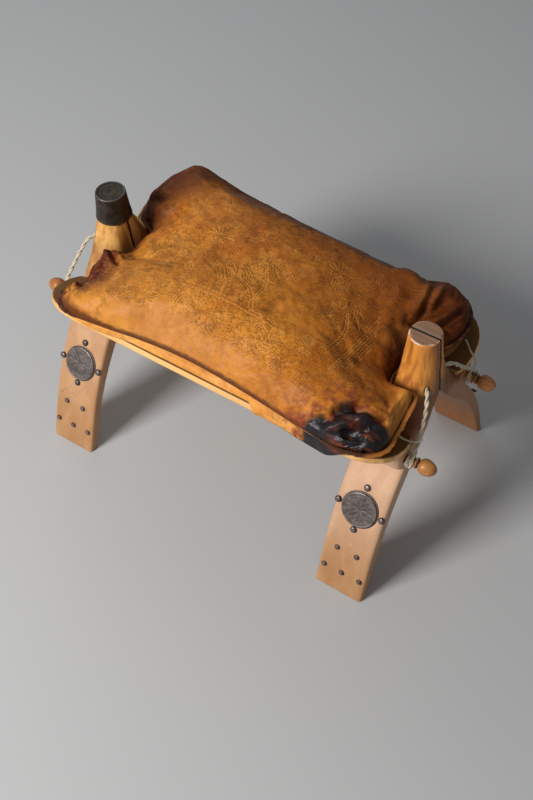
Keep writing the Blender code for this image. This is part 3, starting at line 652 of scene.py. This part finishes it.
def top_surface(points, reach):
    """Smooth top of the cushion: a round shoulder inside the seam, then a low crown."""
    inside = np.clip(reach / (SHOULDER_WIDE * (1 - np.minimum(swell(points, 5), 0.7))), 0.0, 1.0)
    shoulder = SHOULDER_HIGH * np.sqrt(1 - (1 - inside) ** 2)
    crown = CROWN * (1 - smooth(np.abs(points[..., 0]), 0.02, 0.31)) * (1 - (points[..., 1] / 0.19) ** 2)
    height = seam_height(points) + shoulder + crown * smooth(reach, 0.0, 0.09)
    height += swell(points, 3) * smooth(reach, 0.0, 0.03)
    return np.concatenate([points, height[..., None]], axis=2)


# Folds pressed into the top: from x, y to x, y, depth, width
FOLDS = [(0.236, 0.062, 0.262, 0.135, 0.012, 0.01), (0.262, 0.058, 0.3, 0.118, 0.01, 0.007),
         (0.225, 0.04, 0.212, 0.12, 0.006, 0.012), (0.215, 0.15, 0.19, 0.178, 0.009, 0.016),
         (0.25, 0.052, 0.24, 0.1, 0.005, 0.005), (0.284, 0.08, 0.303, 0.092, 0.005, 0.004),
         (0.215, -0.176, 0.262, -0.12, 0.007, 0.009), (0.24, -0.182, 0.29, -0.138, 0.009, 0.007),
         (0.25, -0.13, 0.3, -0.118, 0.006, 0.006), (0.262, -0.172, 0.298, -0.158, 0.005, 0.005),
         (0.228, -0.15, 0.28, -0.098, 0.004, 0.005), (0.226, -0.03, 0.2, -0.06, 0.004, 0.012),
         (-0.222, -0.03, -0.19, -0.06, 0.005, 0.012), (-0.224, 0.028, -0.19, 0.075, 0.006, 0.012),
         (-0.27, -0.07, -0.235, -0.1, 0.006, 0.008), (-0.28, -0.11, -0.24, -0.118, 0.0035, 0.006),
         (0.268, 0.064, 0.286, 0.138, 0.007, 0.004), (0.24, 0.06, 0.228, 0.15, 0.006, 0.005),
         (-0.262, 0.07, -0.225, 0.095, 0.005, 0.009), (-0.262, -0.095, -0.225, -0.085, 0.005, 0.004),
         (-0.268, -0.12, -0.236, -0.14, 0.0045, 0.004), (-0.25, -0.056, -0.205, -0.085, 0.0055, 0.004),
         (-0.262, -0.16, -0.235, -0.135, 0.0045, 0.008)]


def fold_depth(points):
    """How far the folds and the puckers along the seam press the top in."""
    depth = np.zeros(points.shape[:-1])
    for x, y, end_x, end_y, deep, wide in FOLDS:
        start = np.array((x, y))
        step = np.array((end_x, end_y)) - start
        share = np.clip(((points - start) @ step) / (step @ step), 0.0, 1.0)
        away = np.linalg.norm(points - start - share[..., None] * step, axis=-1)
        fade = 1 - smooth(np.abs(share - 0.35), 0.30, 0.66)
        depth += deep * fade * (bell(away, 0, wide) - 0.45 * bell(away, 2.0 * wide, 0.9 * wide))
    return depth


def field(points, scale, seed):
    """Smooth noise at plan points."""
    flat = points.reshape(-1, points.shape[-1])
    values = [noise.noise(Vector((p[0] * scale, p[1] * scale, seed))) for p in flat]
    return np.array(values).reshape(points.shape[:-1])


def normals_of(lattice):
    along = np.gradient(lattice, axis=0)
    across = np.gradient(lattice, axis=1)
    normal = np.cross(along, across)
    return normal / np.maximum(np.linalg.norm(normal, axis=2, keepdims=True), TINY)


CLOTH = dict(quality=6, mass=0.4, tension_stiffness=18.0, compression_stiffness=18.0, shear_stiffness=8.0,
             bending_stiffness=0.35, vertex_group_mass="pins", shrink_min=-0.012, use_pressure=True,
             uniform_pressure_force=2.0)
CLOTH_FRAMES = 24
CLOTH_REACH = 0.008                # how far the simulation may move a point


def settle(lattice):
    """Cloth simulation of the top panel: the leather swells and slackens between its pinned seams."""
    size = lattice.shape[:2]
    faces = [face[::-1] for face in lattice_faces(*size)]
    sheet = add_mesh("slack_sheet", lattice.reshape(-1, 3), faces, bpy.data.materials.new("slack"))
    pins = sheet.vertex_groups.new(name="pins")
    index = np.arange(size[0] * size[1]).reshape(size)
    edge = np.concatenate([index[0], index[-1], index[:, 0], index[:, -1]])
    pins.add([int(k) for k in edge], 1.0, "REPLACE")
    cloth = sheet.modifiers.new("cloth", "CLOTH")
    for setting, value in CLOTH.items():
        setattr(cloth.settings, setting, value)
    cloth.settings.effector_weights.gravity = 0.0
    cloth.collision_settings.use_collision = False
    scene = bpy.context.scene
    scene.frame_start = 1
    scene.frame_end = CLOTH_FRAMES
    for number in range(1, CLOTH_FRAMES + 1):
        scene.frame_set(number)
    solved = sheet.evaluated_get(bpy.context.evaluated_depsgraph_get())
    after = np.array([v.co[:] for v in solved.data.vertices]).reshape(*size, 3)
    scene.frame_set(1)
    bpy.data.objects.remove(sheet, do_unlink=True)
    shift = after - lattice
    far = np.linalg.norm(shift, axis=2, keepdims=True)
    return shift * np.minimum(1.0, CLOTH_REACH / np.maximum(far, TINY))


def resample(values, size):
    """A lattice of vectors at another number of points, by cubic interpolation along each way."""
    for axis in (0, 1):
        values = np.moveaxis(values, axis, 0)
        count = len(values)
        place = np.linspace(0, count - 1, size[axis])
        low = np.minimum(place.astype(int), count - 2)
        t = (place - low).reshape(-1, *([1] * (values.ndim - 1)))
        before, start, end, after = (values[np.clip(low + k, 0, count - 1)] for k in (-1, 0, 1, 2))
        values = 0.5 * (2 * start + (end - before) * t + (2 * before - 5 * start + 4 * end - after) * t ** 2
                        + (3 * start - before - 3 * end + after) * t ** 3)
        values = np.moveaxis(values, 0, axis)
    return values


# ---- tooling pressed into the leather ----

TOOL_WIDTH = 0.00080
TOOL_DEPTH = 0.00130


def fan(base, heading, length, blades, spread):
    """Curved blades springing from one point."""
    lines = []
    for k in range(blades):
        turn = heading + spread * (k / (blades - 1) - 0.5)
        bend = turn + 0.5 * (k / (blades - 1) - 0.5)
        first = np.array((math.cos(turn), math.sin(turn)))
        last = np.array((math.cos(bend), math.sin(bend)))
        lines.append([base, base + 0.5 * length * first, base + 0.5 * length * (first + last)])
    return lines


def palm(foot, crown, reach, fronds):
    """A palm: a trunk drawn double, and drooping fronds with short blades."""
    foot = np.array(foot)
    crown = np.array(crown)
    up = (crown - foot) / np.linalg.norm(crown - foot)
    side = np.array((up[1], -up[0]))
    bow = 0.12 * np.linalg.norm(crown - foot) * side
    lines = [[foot + sign * 0.0030 * side, (foot + crown) / 2 + bow + sign * 0.0022 * side,
              crown + sign * 0.0012 * side] for sign in (-1, 1)]
    for k in range(fronds):
        lean = math.pi * (k / (fronds - 1) - 0.5) * 1.25
        way = math.cos(lean) * up + math.sin(lean) * side
        stem = through([crown, crown + 0.55 * reach * way + 0.10 * reach * up,
                        crown + reach * way - 0.22 * reach * up], 7)
        lines.append(stem)
        for root in stem[2:]:
            lines.append([root, root - 0.24 * reach * up + 0.08 * reach * math.sin(lean) * side])
    return lines


def ring(centre, radius, turn, start):
    angles = start + np.linspace(0, turn, max(8, int(radius * turn / 0.002)))
    return [np.stack([centre[0] + radius * np.cos(angles), centre[1] + radius * np.sin(angles)], axis=1)]


def hatch(centre, heading, strokes, length, gap):
    forward = np.array((math.cos(heading), math.sin(heading)))
    side = np.array((-forward[1], forward[0]))
    return [[centre + side * gap * (k - strokes / 2) - forward * length / 2,
             centre + side * gap * (k - strokes / 2) + forward * length / 2] for k in range(strokes)]


def tooled_lines():
    """Every tooled line of the top panel, as short lists of plan points."""
    rng = np.random.default_rng(11)
    lines = []
    for inset in (0.050, 0.056):
        x = 0.262 - inset
        y = 0.172 - inset
        lines.append([(-0.03, y), (0.8 * x, y)])
    for k in range(6):
        lines.append([(0.184 + 0.0042 * k, -0.104 + 0.006 * k), (0.192 + 0.0036 * k, 0.040 - 0.012 * k)])
    for y in (-0.072, -0.079):
        lines.append([(-0.085, y - 0.003), (0.0, y), (0.085, y - 0.006)])
    lines += palm((0.034, -0.074), (-0.022, -0.026), 0.034, 9)
    lines += palm((0.026, -0.064), (0.004, 0.014), 0.026, 7)
    lines += palm((-0.150, -0.070), (-0.140, -0.010), 0.024, 7)
    lines += palm((0.165, -0.066), (0.150, 0.010), 0.026, 7)
    for x, y, radius in ((0.085, -0.106, 0.019), (-0.065, -0.108, 0.016), (-0.165, 0.080, 0.014)):
        lines += ring((x, y), radius, 5.2, 0.4) + ring((x, y), 0.62 * radius, 4.6, 2.0)
        for k in range(9):
            lines += fan(np.array((x, y)), 2 * math.pi * k / 9, 1.35 * radius, 2, 0.30)
    for x, y, size in ((-0.095, 0.030, 0.024), (0.105, 0.060, 0.022), (-0.120, 0.095, 0.018)):
        lines += fan(np.array((x, y)), 0.5 * math.pi, size, 9, 2.5)
        lines += fan(np.array((x, y)), -0.5 * math.pi, 0.6 * size, 5, 1.6)
    for _ in range(58):
        centre = np.array((rng.uniform(-0.200, 0.190), rng.uniform(-0.125, 0.110)))
        lines += hatch(centre, math.pi / 2 + rng.uniform(-0.8, 0.5), int(rng.integers(3, 8)),
                       rng.uniform(0.007, 0.016), rng.uniform(0.0034, 0.0044))
    return lines


def tooling_map():
    """Raster of the tooled lines, 1 on a line, with its low corner and its pitch."""
    pitch = 0.0007
    low = np.array((-0.30, -0.19))
    count = np.array((int(0.60 / pitch), int(0.38 / pitch)))
    raster = np.zeros(count)
    span = np.arange(-2, 3) * pitch
    for line in tooled_lines():
        line = np.array(line, float)
        length = np.linalg.norm(np.diff(line, axis=0), axis=1).sum()
        dots = through(line, max(3, int(length / (0.8 * pitch))))
        for dot in dots:
            cell = np.round((dot - low) / pitch).astype(int)
            off = low + cell * pitch - dot
            stamp = np.exp(-(((span + off[0])[:, None] ** 2 + (span + off[1])[None] ** 2)
                             / TOOL_WIDTH ** 2))
            window = raster[cell[0] - 2:cell[0] + 3, cell[1] - 2:cell[1] + 3]
            np.maximum(window, stamp, out=window)
    return raster, low, pitch


def tooling_at(points):
    raster, low, pitch = tooling_map()
    place = (points - low) / pitch
    cell = np.clip(place.astype(int), 0, np.array(raster.shape) - 2)
    t = np.clip(place - cell, 0, 1)
    i, j = cell[..., 0], cell[..., 1]
    s, t = t[..., 0], t[..., 1]
    near = raster[i, j] * (1 - s) + raster[i + 1, j] * s
    far = raster[i, j + 1] * (1 - s) + raster[i + 1, j + 1] * s
    return near * (1 - t) + far * t


def panel(name, lattice, finish, upper):
    """A leather panel as a closed piece: its lattice, and one hidden face across the seam."""
    size = lattice.shape[:2]
    faces = lattice_faces(*size)
    if upper:
        faces = [face[::-1] for face in faces]
    index = np.arange(size[0] * size[1]).reshape(size)
    rim = [*index[:-1, 0], *index[-1, :-1], *index[:0:-1, -1], *index[0, :0:-1]]
    rim = [int(k) for k in rim]
    faces.append(tuple(reversed(rim)) if upper else tuple(rim))
    return add_mesh(name, lattice.reshape(-1, 3), faces, finish)


def make_top(finish):
    points = plan(TOP_GRID)
    reach, _ = to_seam(points)
    lattice = top_surface(points, reach)
    coarse = plan(SLACK_GRID)
    lattice += resample(settle(top_surface(coarse, to_seam(coarse)[0])), TOP_GRID)
    normal = normals_of(lattice)
    inner = smooth(reach, 0.001, 0.010)
    folds = fold_depth(points) * smooth(reach, 0.0, 0.012)
    tooling = tooling_at(points)
    wavy = field(points, 34.0, 3.0) * 0.0022 + field(points, 90.0, 8.0) * 0.0008
    wavy *= smooth(reach, 0.0, 0.02)
    soaked = bell(np.hypot(0.8 * (points[..., 0] - 0.262), 1.35 * (points[..., 1] + 0.163)), 0.0, 0.042)
    along = points * (0.45, 1.5)
    crumple = np.abs(field(along, 46.0, 5.0)) * 0.0085 + np.abs(field(along, 110.0, 6.0)) * 0.0010
    left = bell(np.hypot(points[..., 0] + 0.266, points[..., 1] + 0.090), 0.0, 0.045)
    wrinkle = np.abs(field(points * (1.6, 0.8), 80.0, 9.0)) * 0.0060
    pressed = TOOL_DEPTH * tooling + crumple * (0.7 * soaked + 1.6 * left) + wrinkle * left
    lattice += normal * (wavy - folds - inner * pressed)[..., None]
    top = panel("cushion_top_panel", lattice, finish, upper=True)
    store(top, "seam", reach)
    store(top, "tooling", tooling)
    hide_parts("cushion_top", "cushion_filling")
    return top


def shape_rim(lattice, share, nearest, section, amount):
    """Draw the front rim of the underside towards a section given as share of the rim, y and z."""
    steps = [row[0] for row in section]
    rise = np.clip(share / steps[0], 0.0, 1.0)
    fall = np.clip((share - steps[-1]) / (1 - steps[-1]), 0.0, 1.0)
    amount = amount * (nearest[..., 1] < -0.15) * (share > 0) * (share < 1)
    for axis in (1, 2):
        middle = np.interp(share, steps, [row[axis] for row in section])
        seam = nearest[..., 1] if axis == 1 else seam_height(nearest)
        if axis == 1:
            middle = np.minimum(middle, seam - 0.0015 * (1 - smooth(share, 0.42, 0.60)))
        wanted = seam + (middle - seam) * rise
        wanted += (lattice[..., axis] - wanted) * fall
        lattice[..., axis] += (wanted - lattice[..., axis]) * amount


def make_underside(finish):
    points = plan(UNDER_GRID)
    reach, nearest = to_seam(points)
    share = np.clip(reach / UNDER_WALL, 0.0, 1.0)
    out = nearest - points
    out /= np.maximum(np.linalg.norm(out, axis=2, keepdims=True), TINY)
    swelling = 0.0028 * np.sin(math.pi * np.clip(share / 0.7, 0, 1))
    creases = 0.0012 * field(nearest, 110.0, 2.0) * np.sin(math.pi * share)
    bulge = reach * (1 - smooth(share, 0.3, 1.0)) + swelling + creases
    moved = points + out * (bulge * (share > 0))[..., None]
    seam = seam_height(nearest)
    rest = trough(moved)
    height = seam - np.maximum(seam - rest, 0.0) * smooth(share, 0.0, 1.0) ** 0.8
    height = np.maximum(height, rest)
    lattice = np.concatenate([moved, (height - 0.0004)[..., None]], axis=2)
    hang = smooth(nearest[..., 0], HANG_FROM - 0.008, HANG_FROM + 0.008)
    hang *= 1 - smooth(nearest[..., 0], HANG_TO - 0.018, HANG_TO + 0.018)
    belly = smooth(nearest[..., 0] + BELLY_END, 0.0, 0.030) * (nearest[..., 0] < HANG_FROM + 0.010)
    shape_rim(lattice, share, nearest, BELLY_SECTION, belly)
    shape_rim(lattice, share, nearest, HANG_SECTION, hang)
    ripple = field(nearest, 120.0, 9.0) * 0.0016 + field(nearest, 45.0, 4.0) * 0.0020
    lattice[..., 1] -= (ripple * np.sin(math.pi * np.clip(share / 0.45, 0, 1)) * np.maximum(hang, belly))
    under = panel("cushion_under_panel", lattice, finish, upper=False)
    store(under, "seam", reach + 0.030)
    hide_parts("cushion_bottom")
    return under


WELT_POINTS = 860
STITCHES = 380


def seam_frames(count):
    """Points on the seam with their outward directions, evenly spaced."""
    loop = seam_loop(count)
    step = np.roll(loop, -1, axis=0) - np.roll(loop, 1, axis=0)
    out = np.stack([step[:, 1], -step[:, 0]], axis=1)
    return loop, out / np.linalg.norm(out, axis=1, keepdims=True)


def at_ends(loop):
    return smooth(np.abs(loop[:, 0]), 0.20, 0.265)


def welt_reach(loop):
    """How far the seam's raw edges stand out: narrow along the front, wide round the ends."""
    corner = smooth(loop[:, 0], 0.26, 0.29) * smooth(-loop[:, 1], -0.02, 0.04)
    return 0.0011 + 0.0055 * at_ends(loop) + 0.0022 * corner


def make_welt(finish):
    loop, out = seam_frames(WELT_POINTS)
    wide = welt_reach(loop)
    level = seam_height(loop)
    drift = np.array([noise.noise(Vector((x * 45, y * 45, 1.0))) for x, y in loop])
    fine = np.array([noise.noise(Vector((x * 160, y * 160, 4.0))) for x, y in loop])
    ends = at_ends(loop)
    rows = []
    edge = []
    section = [(-0.25, 0.8, 0.0), (0.10, 0.7, 0.0), (0.40, 1.15, 0.9), (0.85, 0.95, 1.0), (1.0, 0.35, 0.7),
               (1.0, -0.35, 0.4), (0.80, -0.95, 0.3), (0.35, -1.15, 0.0), (-0.25, -1.0, 0.0)]
    for share, thick, pale in section:
        reach = share * wide * (1 + 0.25 * fine)
        lift = (0.0005 + 0.0008 * ends) * thick + share * (0.0016 * drift * (0.4 + ends) + 0.0008 * ends)
        rows.append(np.column_stack([loop + out * reach[:, None], level + 0.0004 + lift]))
        edge.append(np.full(WELT_POINTS, pale))
    faces = []
    for r in range(len(section)):
        after_row = (r + 1) % len(section)
        for c in range(WELT_POINTS):
            after = (c + 1) % WELT_POINTS
            faces.append((r * WELT_POINTS + c, after_row * WELT_POINTS + c,
                          after_row * WELT_POINTS + after, r * WELT_POINTS + after))
    welt = add_mesh("cushion_seam_welt", np.vstack(rows), [face[::-1] for face in faces], finish)
    store(welt, "edge", np.concatenate(edge))
    return welt


def make_stitches(finish):
    """Waxed thread along the welt, a short stitch every few millimetres."""
    loop, out = seam_frames(STITCHES)
    wide = welt_reach(loop)
    level = seam_height(loop)
    points = []
    faces = []
    sides = 6
    for k in range(STITCHES):
        along = np.array((-out[k, 1], out[k, 0]))
        centre = loop[k] + out[k] * 0.30 * wide[k]
        for share, radius in ((-1.0, 0.00015), (-0.6, 0.00038), (0.6, 0.00038), (1.0, 0.00015)):
            spot = centre + along * share * 0.0016
            base = level[k] + 0.0021 - 0.0005 * abs(share) ** 3
            for s in range(sides):
                angle = 2 * math.pi * s / sides
                side = spot + out[k] * radius * math.cos(angle)
                points.append((side[0], side[1], base + radius * math.sin(angle)))
        start = k * 4 * sides
        faces += lattice_faces(4, sides, start, wrap=True)
        faces.append(tuple(range(start + sides - 1, start - 1, -1)))
        faces.append(tuple(range(start + 3 * sides, start + 4 * sides)))
    return add_mesh("cushion_seam_stitches", points, faces, finish)


def make_cushion():
    top = make_top(leather("tooled_leather_finish", True))
    under = make_underside(leather("plain_leather_finish", False))
    welt = make_welt(welt_leather())
    thread = Finish("thread_finish", Base_Color=(0.16, 0.10, 0.055, 1.0), Roughness=0.6).material
    stitches = make_stitches(thread)
    for piece in (top, under, welt, stitches):
        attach(piece, "cushion")


# ---- cords ----

LASHING_RADIUS = 0.0032
FINIAL_BASE = 0.3175
FINIAL_NECK = 0.0064
ROD_Y = 0.094
ROD_Z = 0.257
WRAP_POINTS = 12
WRAP_SWEEP = math.radians(430.0)
WRAP_LEAVES = math.radians(30.0)
WRAP_START = 0.0032
WRAP_END = 0.0107
LASHING_ROUTE = [(0.3282, 0.095, 0.2725), (0.327, 0.084, 0.286), (0.324, 0.068, 0.303),
                 (0.3195, 0.052, 0.321), (0.313, 0.038, 0.336), (0.301, 0.018, 0.3402),
                 (0.2934, 0.0055, 0.3428), (0.2914, 0.0, 0.3435)]
TIE_ROUTE = [(0.302, 0.105, 0.319), (0.307, 0.104, 0.313), (0.314, 0.1, 0.306), (0.3235, 0.095, 0.302),
             (0.33, 0.088, 0.299), (0.3322, 0.08, 0.2965)]


def neck_wraps():
    """Turns round a finial's neck at +X, +Y, from beside the leg out to the collar."""
    radius = FINIAL_NECK + LASHING_RADIUS + 0.0003
    points = []
    for k in range(WRAP_POINTS):
        share = k / (WRAP_POINTS - 1)
        angle = WRAP_LEAVES - WRAP_SWEEP * (1 - share)
        x = FINIAL_BASE + WRAP_START + (WRAP_END - WRAP_START) * share
        points.append((x, ROD_Y + radius * math.cos(angle), ROD_Z + radius * math.sin(angle)))
    return points


def path_length(path):
    return float(np.linalg.norm(np.diff(path, axis=0), axis=1).sum())


def carried_frames(path):
    """Two cross directions at each point of a path, carried along it without twisting."""
    tangent = np.gradient(path, axis=0)
    tangent /= np.linalg.norm(tangent, axis=1, keepdims=True)
    side = np.cross(tangent[0], (0.0, 0.0, 1.0))
    side /= np.linalg.norm(side)
    sides = []
    for t in tangent:
        side = side - t * (side @ t)
        side /= np.linalg.norm(side)
        sides.append(side.copy())
    sides = np.array(sides)
    return sides, np.cross(tangent, sides)


def twisted_cord(name, path, finish, strand, spread, pitch, strands=2, plies=3, sides=12):
    """Strands twisted round a path, each with the groove of its own plies."""
    side, up = carried_frames(path)
    along = np.concatenate([[0.0], np.cumsum(np.linalg.norm(np.diff(path, axis=0), axis=1))])
    points = []
    groove = []
    faces = []
    for number in range(strands):
        turn = 2 * math.pi * (along / pitch + number / strands)
        centre = path + spread * (np.cos(turn)[:, None] * side + np.sin(turn)[:, None] * up)
        across, over = carried_frames(centre)
        start = len(points)
        for k in range(len(path)):
            for s in range(sides):
                angle = 2 * math.pi * s / sides
                lay = math.cos(plies * (angle - 2 * math.pi * along[k] / (1.4 * pitch)))
                radius = strand * (1 + 0.10 * lay)
                away = math.cos(angle) * across[k] + math.sin(angle) * over[k]
                points.append(centre[k] + radius * away)
                groove.append(max(0.0, -lay))
        faces += lattice_faces(len(path), sides, start, wrap=True)
        last = start + (len(path) - 1) * sides
        faces.append(tuple(range(start + sides - 1, start - 1, -1)))
        faces.append(tuple(range(last, last + sides)))
    cord = add_mesh(name, points, faces, finish)
    store(cord, "ply", groove)
    return cord


def make_cords():
    finish = cotton()
    half = np.array(neck_wraps() + LASHING_ROUTE)
    for end, x_sign in (("left", -1), ("right", 1)):
        rear = half * (x_sign, 1, 1)
        front = half * (x_sign, -1, 1)
        route = np.vstack([rear, front[-2::-1]])
        length = path_length(through(route, 900))
        path = through(route, int(length / 0.0016))
        cord = twisted_cord(f"lashing_cord_{end}", path, finish, 0.00175, 0.00155, 0.030)
        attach(cord, "frame")
        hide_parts(f"lashing_{end}")
    for side, y_sign in (("front", -1), ("rear", 1)):
        route = np.array(TIE_ROUTE) * (1, y_sign, 1)
        length = path_length(through(route, 300))
        path = through(route, int(length / 0.0010))
        tie = twisted_cord(f"cushion_tie_cord_{side}", path, finish, 0.00078, 0.00064, 0.009, sides=8)
        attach(tie, "cushion")
        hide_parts(f"cushion_tie_{side}")


# ---- wood ----

def worn_copy(node, name, finish, voxel, rounds):
    """A CAD node remade as one even mesh whose edges are rounded by wear."""
    made = bpy.data.objects.new(name, NODES[node].data.copy())
    bpy.context.scene.collection.objects.link(made)
    remesh = made.modifiers.new("even", "REMESH")
    remesh.mode = "VOXEL"
    remesh.voxel_size = voxel
    soften = made.modifiers.new("soften", "SMOOTH")
    soften.factor = 0.5
    soften.iterations = rounds
    solved = made.evaluated_get(bpy.context.evaluated_depsgraph_get())
    mesh = bpy.data.meshes.new_from_object(solved)
    made.modifiers.clear()
    made.data = mesh
    mesh.materials.clear()
    mesh.materials.append(finish)
    mesh.shade_smooth()
    return made


def make_wood():
    beech = leg_wood()
    boards = board_wood()
    for node in sorted(NODES):
        if node.startswith("leg_"):
            piece = worn_copy(node, "worn_" + node, beech, 0.0016, 4)
        elif node.startswith("seat_board"):
            piece = worn_copy(node, "worn_" + node, boards, 0.0016, 4)
        else:
            continue
        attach(piece, "frame")
        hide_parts(node)
    rods = turned_wood()
    for node in ("stretcher_rod_front", "stretcher_rod_rear"):
        NODES[node].data.materials.clear()
        NODES[node].data.materials.append(rods)
    for side in ("front", "rear"):
        for end in ("left", "right"):
            make_finial(f"finial_{side}_{end}", rods)


WEAR_PER_METRE = 500.0             # how bright a struck disc's relief is rubbed, per metre of height


def node_axis(node):
    """Frame of a turned CAD node: Z along its axis and outwards, origin at its inner end."""
    points = np.array([v.co[:] for v in NODES[node].data.vertices])
    low, high = points.min(0), points.max(0)
    centre = points.mean(0)
    sizes, ways = np.linalg.eigh(np.cov((points - centre).T))
    gaps = [abs(sizes[1] - sizes[2]), abs(sizes[0] - sizes[2]), abs(sizes[0] - sizes[1])]
    axis = ways[:, int(np.argmin(gaps))]
    out = np.array((np.sign(centre[0]), 0.0, 0.0)) if "finial" in node else np.array((0.0, centre[1], 0.15))
    if node == "pommel_cap":
        axis = np.array((0.0, 0.0, 1.0))
        out = axis
        centre = (low + high) / 2
    if axis @ out < 0:
        axis = -axis
    along = (points - centre) @ axis
    frame = Vector(axis).to_track_quat("Z", "Y").to_matrix().to_4x4()
    frame.translation = Vector(centre + axis * along.min())
    return frame, float(along.max() - along.min())


def turned(name, profile, steps, matrix, finish, relief=None):
    """Revolve (height, radius, mark) rows about Z; relief adds height by radius and angle."""
    points = []
    marks = []
    for height, radius, mark in profile:
        for k in range(steps):
            angle = 2 * math.pi * k / steps
            extra = relief(radius, angle) if relief and mark >= 0 else 0.0
            points.append(matrix @ Vector((radius * math.cos(angle), radius * math.sin(angle),
                                           height + extra)))
            marks.append(max(0.0, mark) + (WEAR_PER_METRE * extra if relief else 0.0))
    faces = lattice_faces(len(profile), steps, 0, wrap=True)
    faces.append(tuple(range(steps - 1, -1, -1)))
    last = (len(profile) - 1) * steps
    faces.append(tuple(range(last, last + steps)))
    return add_mesh(name, points, faces, finish), marks


# Finial: distance past its base, radius, how dark the painted shade in its groove is
FINIAL_PROFILE = [(0.0, 0.0046, 0), (0.0, 0.006, 0), (0.0006, 0.0064, 0), (0.009, 0.0062, 0),
                  (0.0138, 0.006, 0.4), (0.0145, 0.0072, 0.9), (0.015, 0.0083, 0), (0.016, 0.0088, 0),
                  (0.017, 0.0088, 0), (0.0178, 0.0083, 0.2), (0.0184, 0.0072, 1.0), (0.019, 0.0066, 1.0),
                  (0.02, 0.0066, 1.0), (0.0207, 0.007, 0.6), (0.0214, 0.0086, 0.1), (0.0232, 0.0103, 0),
                  (0.0258, 0.0119, 0), (0.0285, 0.0126, 0), (0.0312, 0.0127, 0), (0.0342, 0.0123, 0),
                  (0.0374, 0.0115, 0), (0.0406, 0.0103, 0), (0.0434, 0.0087, 0), (0.0456, 0.0068, 0),
                  (0.0471, 0.0047, 0), (0.0479, 0.0026, 0), (0.0482, 0.0006, 0)]


def make_finial(node, finish):
    matrix, _ = node_axis(node)
    finial, marks = turned("turned_" + node, FINIAL_PROFILE, 48, matrix, finish)
    store(finial, "groove", marks)
    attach(finial, "frame")
    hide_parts(node)


# ---- metal ----


def rosette(radius, angle):
    """Low relief of a struck disc: a rosette inside a ring of beads."""
    petals = 0.00024 * math.cos(8 * angle) * math.sin(math.pi * min(1.0, radius / 0.017)) ** 2
    inner = 0.00022 * math.cos(16 * angle + 1.0) * bell(radius, 0.0195, 0.0018)
    beads = 0.00028 * max(0.0, math.cos(44 * angle)) * bell(radius, 0.0245, 0.0009)
    rings = 0.00026 * (bell(radius, 0.0222, 0.0005) + bell(radius, 0.0268, 0.0005))
    return petals * (radius < 0.017) + inner + beads + rings


def make_metal():
    trim = bronze("medallion_finish", (0.085, 0.070, 0.065), (0.30, 0.25, 0.23))
    nail = bronze("nail_finish", (0.050, 0.036, 0.034), (0.26, 0.21, 0.20))
    dark = bronze("cap_finish", (0.034, 0.026, 0.019), (0.20, 0.18, 0.155))
    for node in sorted(NODES):
        if not node.startswith(("medallion", "lower_stud", "pommel_cap")):
            continue
        matrix, tall = node_axis(node)
        if node == "pommel_cap":
            piece, marks = turned("worn_pommel_cap", cap_profile(tall), 96, matrix, dark)
        elif "stud" in node:
            piece, marks = turned("domed_" + node, nail_profile(node, tall), 28, matrix, nail)
        else:
            piece, marks = turned("struck_" + node, disc_profile(tall), 176, matrix, trim, rosette)
        store(piece, "wear", marks)
        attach(piece, "frame")
        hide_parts(node)


def disc_profile(tall):
    """Flange, wall and face of a medallion whose whole thickness is tall."""
    rows = [(0.0, 0.0302, -1), (0.0002, 0.0309, -1), (0.0013, 0.0312, -1), (0.0017, 0.0309, -1),
            (0.0018, 0.0302, -1), (0.0017, 0.0296, -1), (0.0019, 0.0291, -1)]
    rows += [(tall - 0.0010, 0.0290, -1), (tall - 0.0004, 0.0288, 0.3), (tall - 0.0001, 0.0283, 0.8),
             (tall, 0.0277, 0.5), (tall - 0.0002, 0.0272, 0.0)]
    return rows + [(tall - 0.0004, 0.0268 * (1 - k / 40), 0.10) for k in range(1, 40)]


def nail_profile(node, tall):
    """Shank and dome of a nail whose whole length is tall."""
    low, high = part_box(node)
    radius = (high.x - low.x) / 2
    dome = radius * 0.52
    under = tall - radius * 0.48
    rows = [(0.0, 0.0004, 0), (0.0012, 0.0011, 0), (under, 0.0011, 0), (under, radius * 0.94, 0),
            (under + 0.0002, radius, 0)]
    for k in range(1, 9):
        angle = math.pi / 2 * k / 8.6
        rows.append((under + 0.0002 + dome * math.sin(angle), radius * math.cos(angle) ** 0.8,
                     0.9 * smooth(math.sin(angle), 0.6, 1.0)))
    return rows


def cap_profile(tall):
    """Outside, rolled rim, dished top and inside of the pommel cap."""
    rows = [(0.0003, 0.0286, 0), (0.0, 0.0291, 0), (0.0006, 0.0296, 0.6), (0.0016, 0.0294, 0.1)]
    for k in range(1, 9):
        share = k / 8
        rows.append((tall * (0.04 + 0.90 * share), 0.0294 - 0.0046 * share ** 0.75, 0.05))
    rows += [(tall - 0.0014, 0.0246, 0.3), (tall - 0.0006, 0.0242, 0.6), (tall - 0.0001, 0.0234, 0.6),
             (tall - 0.0001, 0.0224, 0.3), (tall - 0.0007, 0.0212, 0.05), (tall - 0.0014, 0.0198, 0.0),
             (tall - 0.0017, 0.0176, 0.0), (tall - 0.0014, 0.0168, 0.1), (tall - 0.0014, 0.0156, 0.1),
             (tall - 0.0018, 0.0146, 0.0), (tall - 0.0019, 0.0090, 0.0), (tall - 0.0016, 0.0080, 0.1),
             (tall - 0.0016, 0.0062, 0.1), (tall - 0.0019, 0.0052, 0.0), (tall - 0.0019, 0.0010, 0.0)]
    return rows


make_camera()
make_cords()
make_stage()
make_cushion()
make_wood()
make_metal()

bpy.context.view_layer.update()
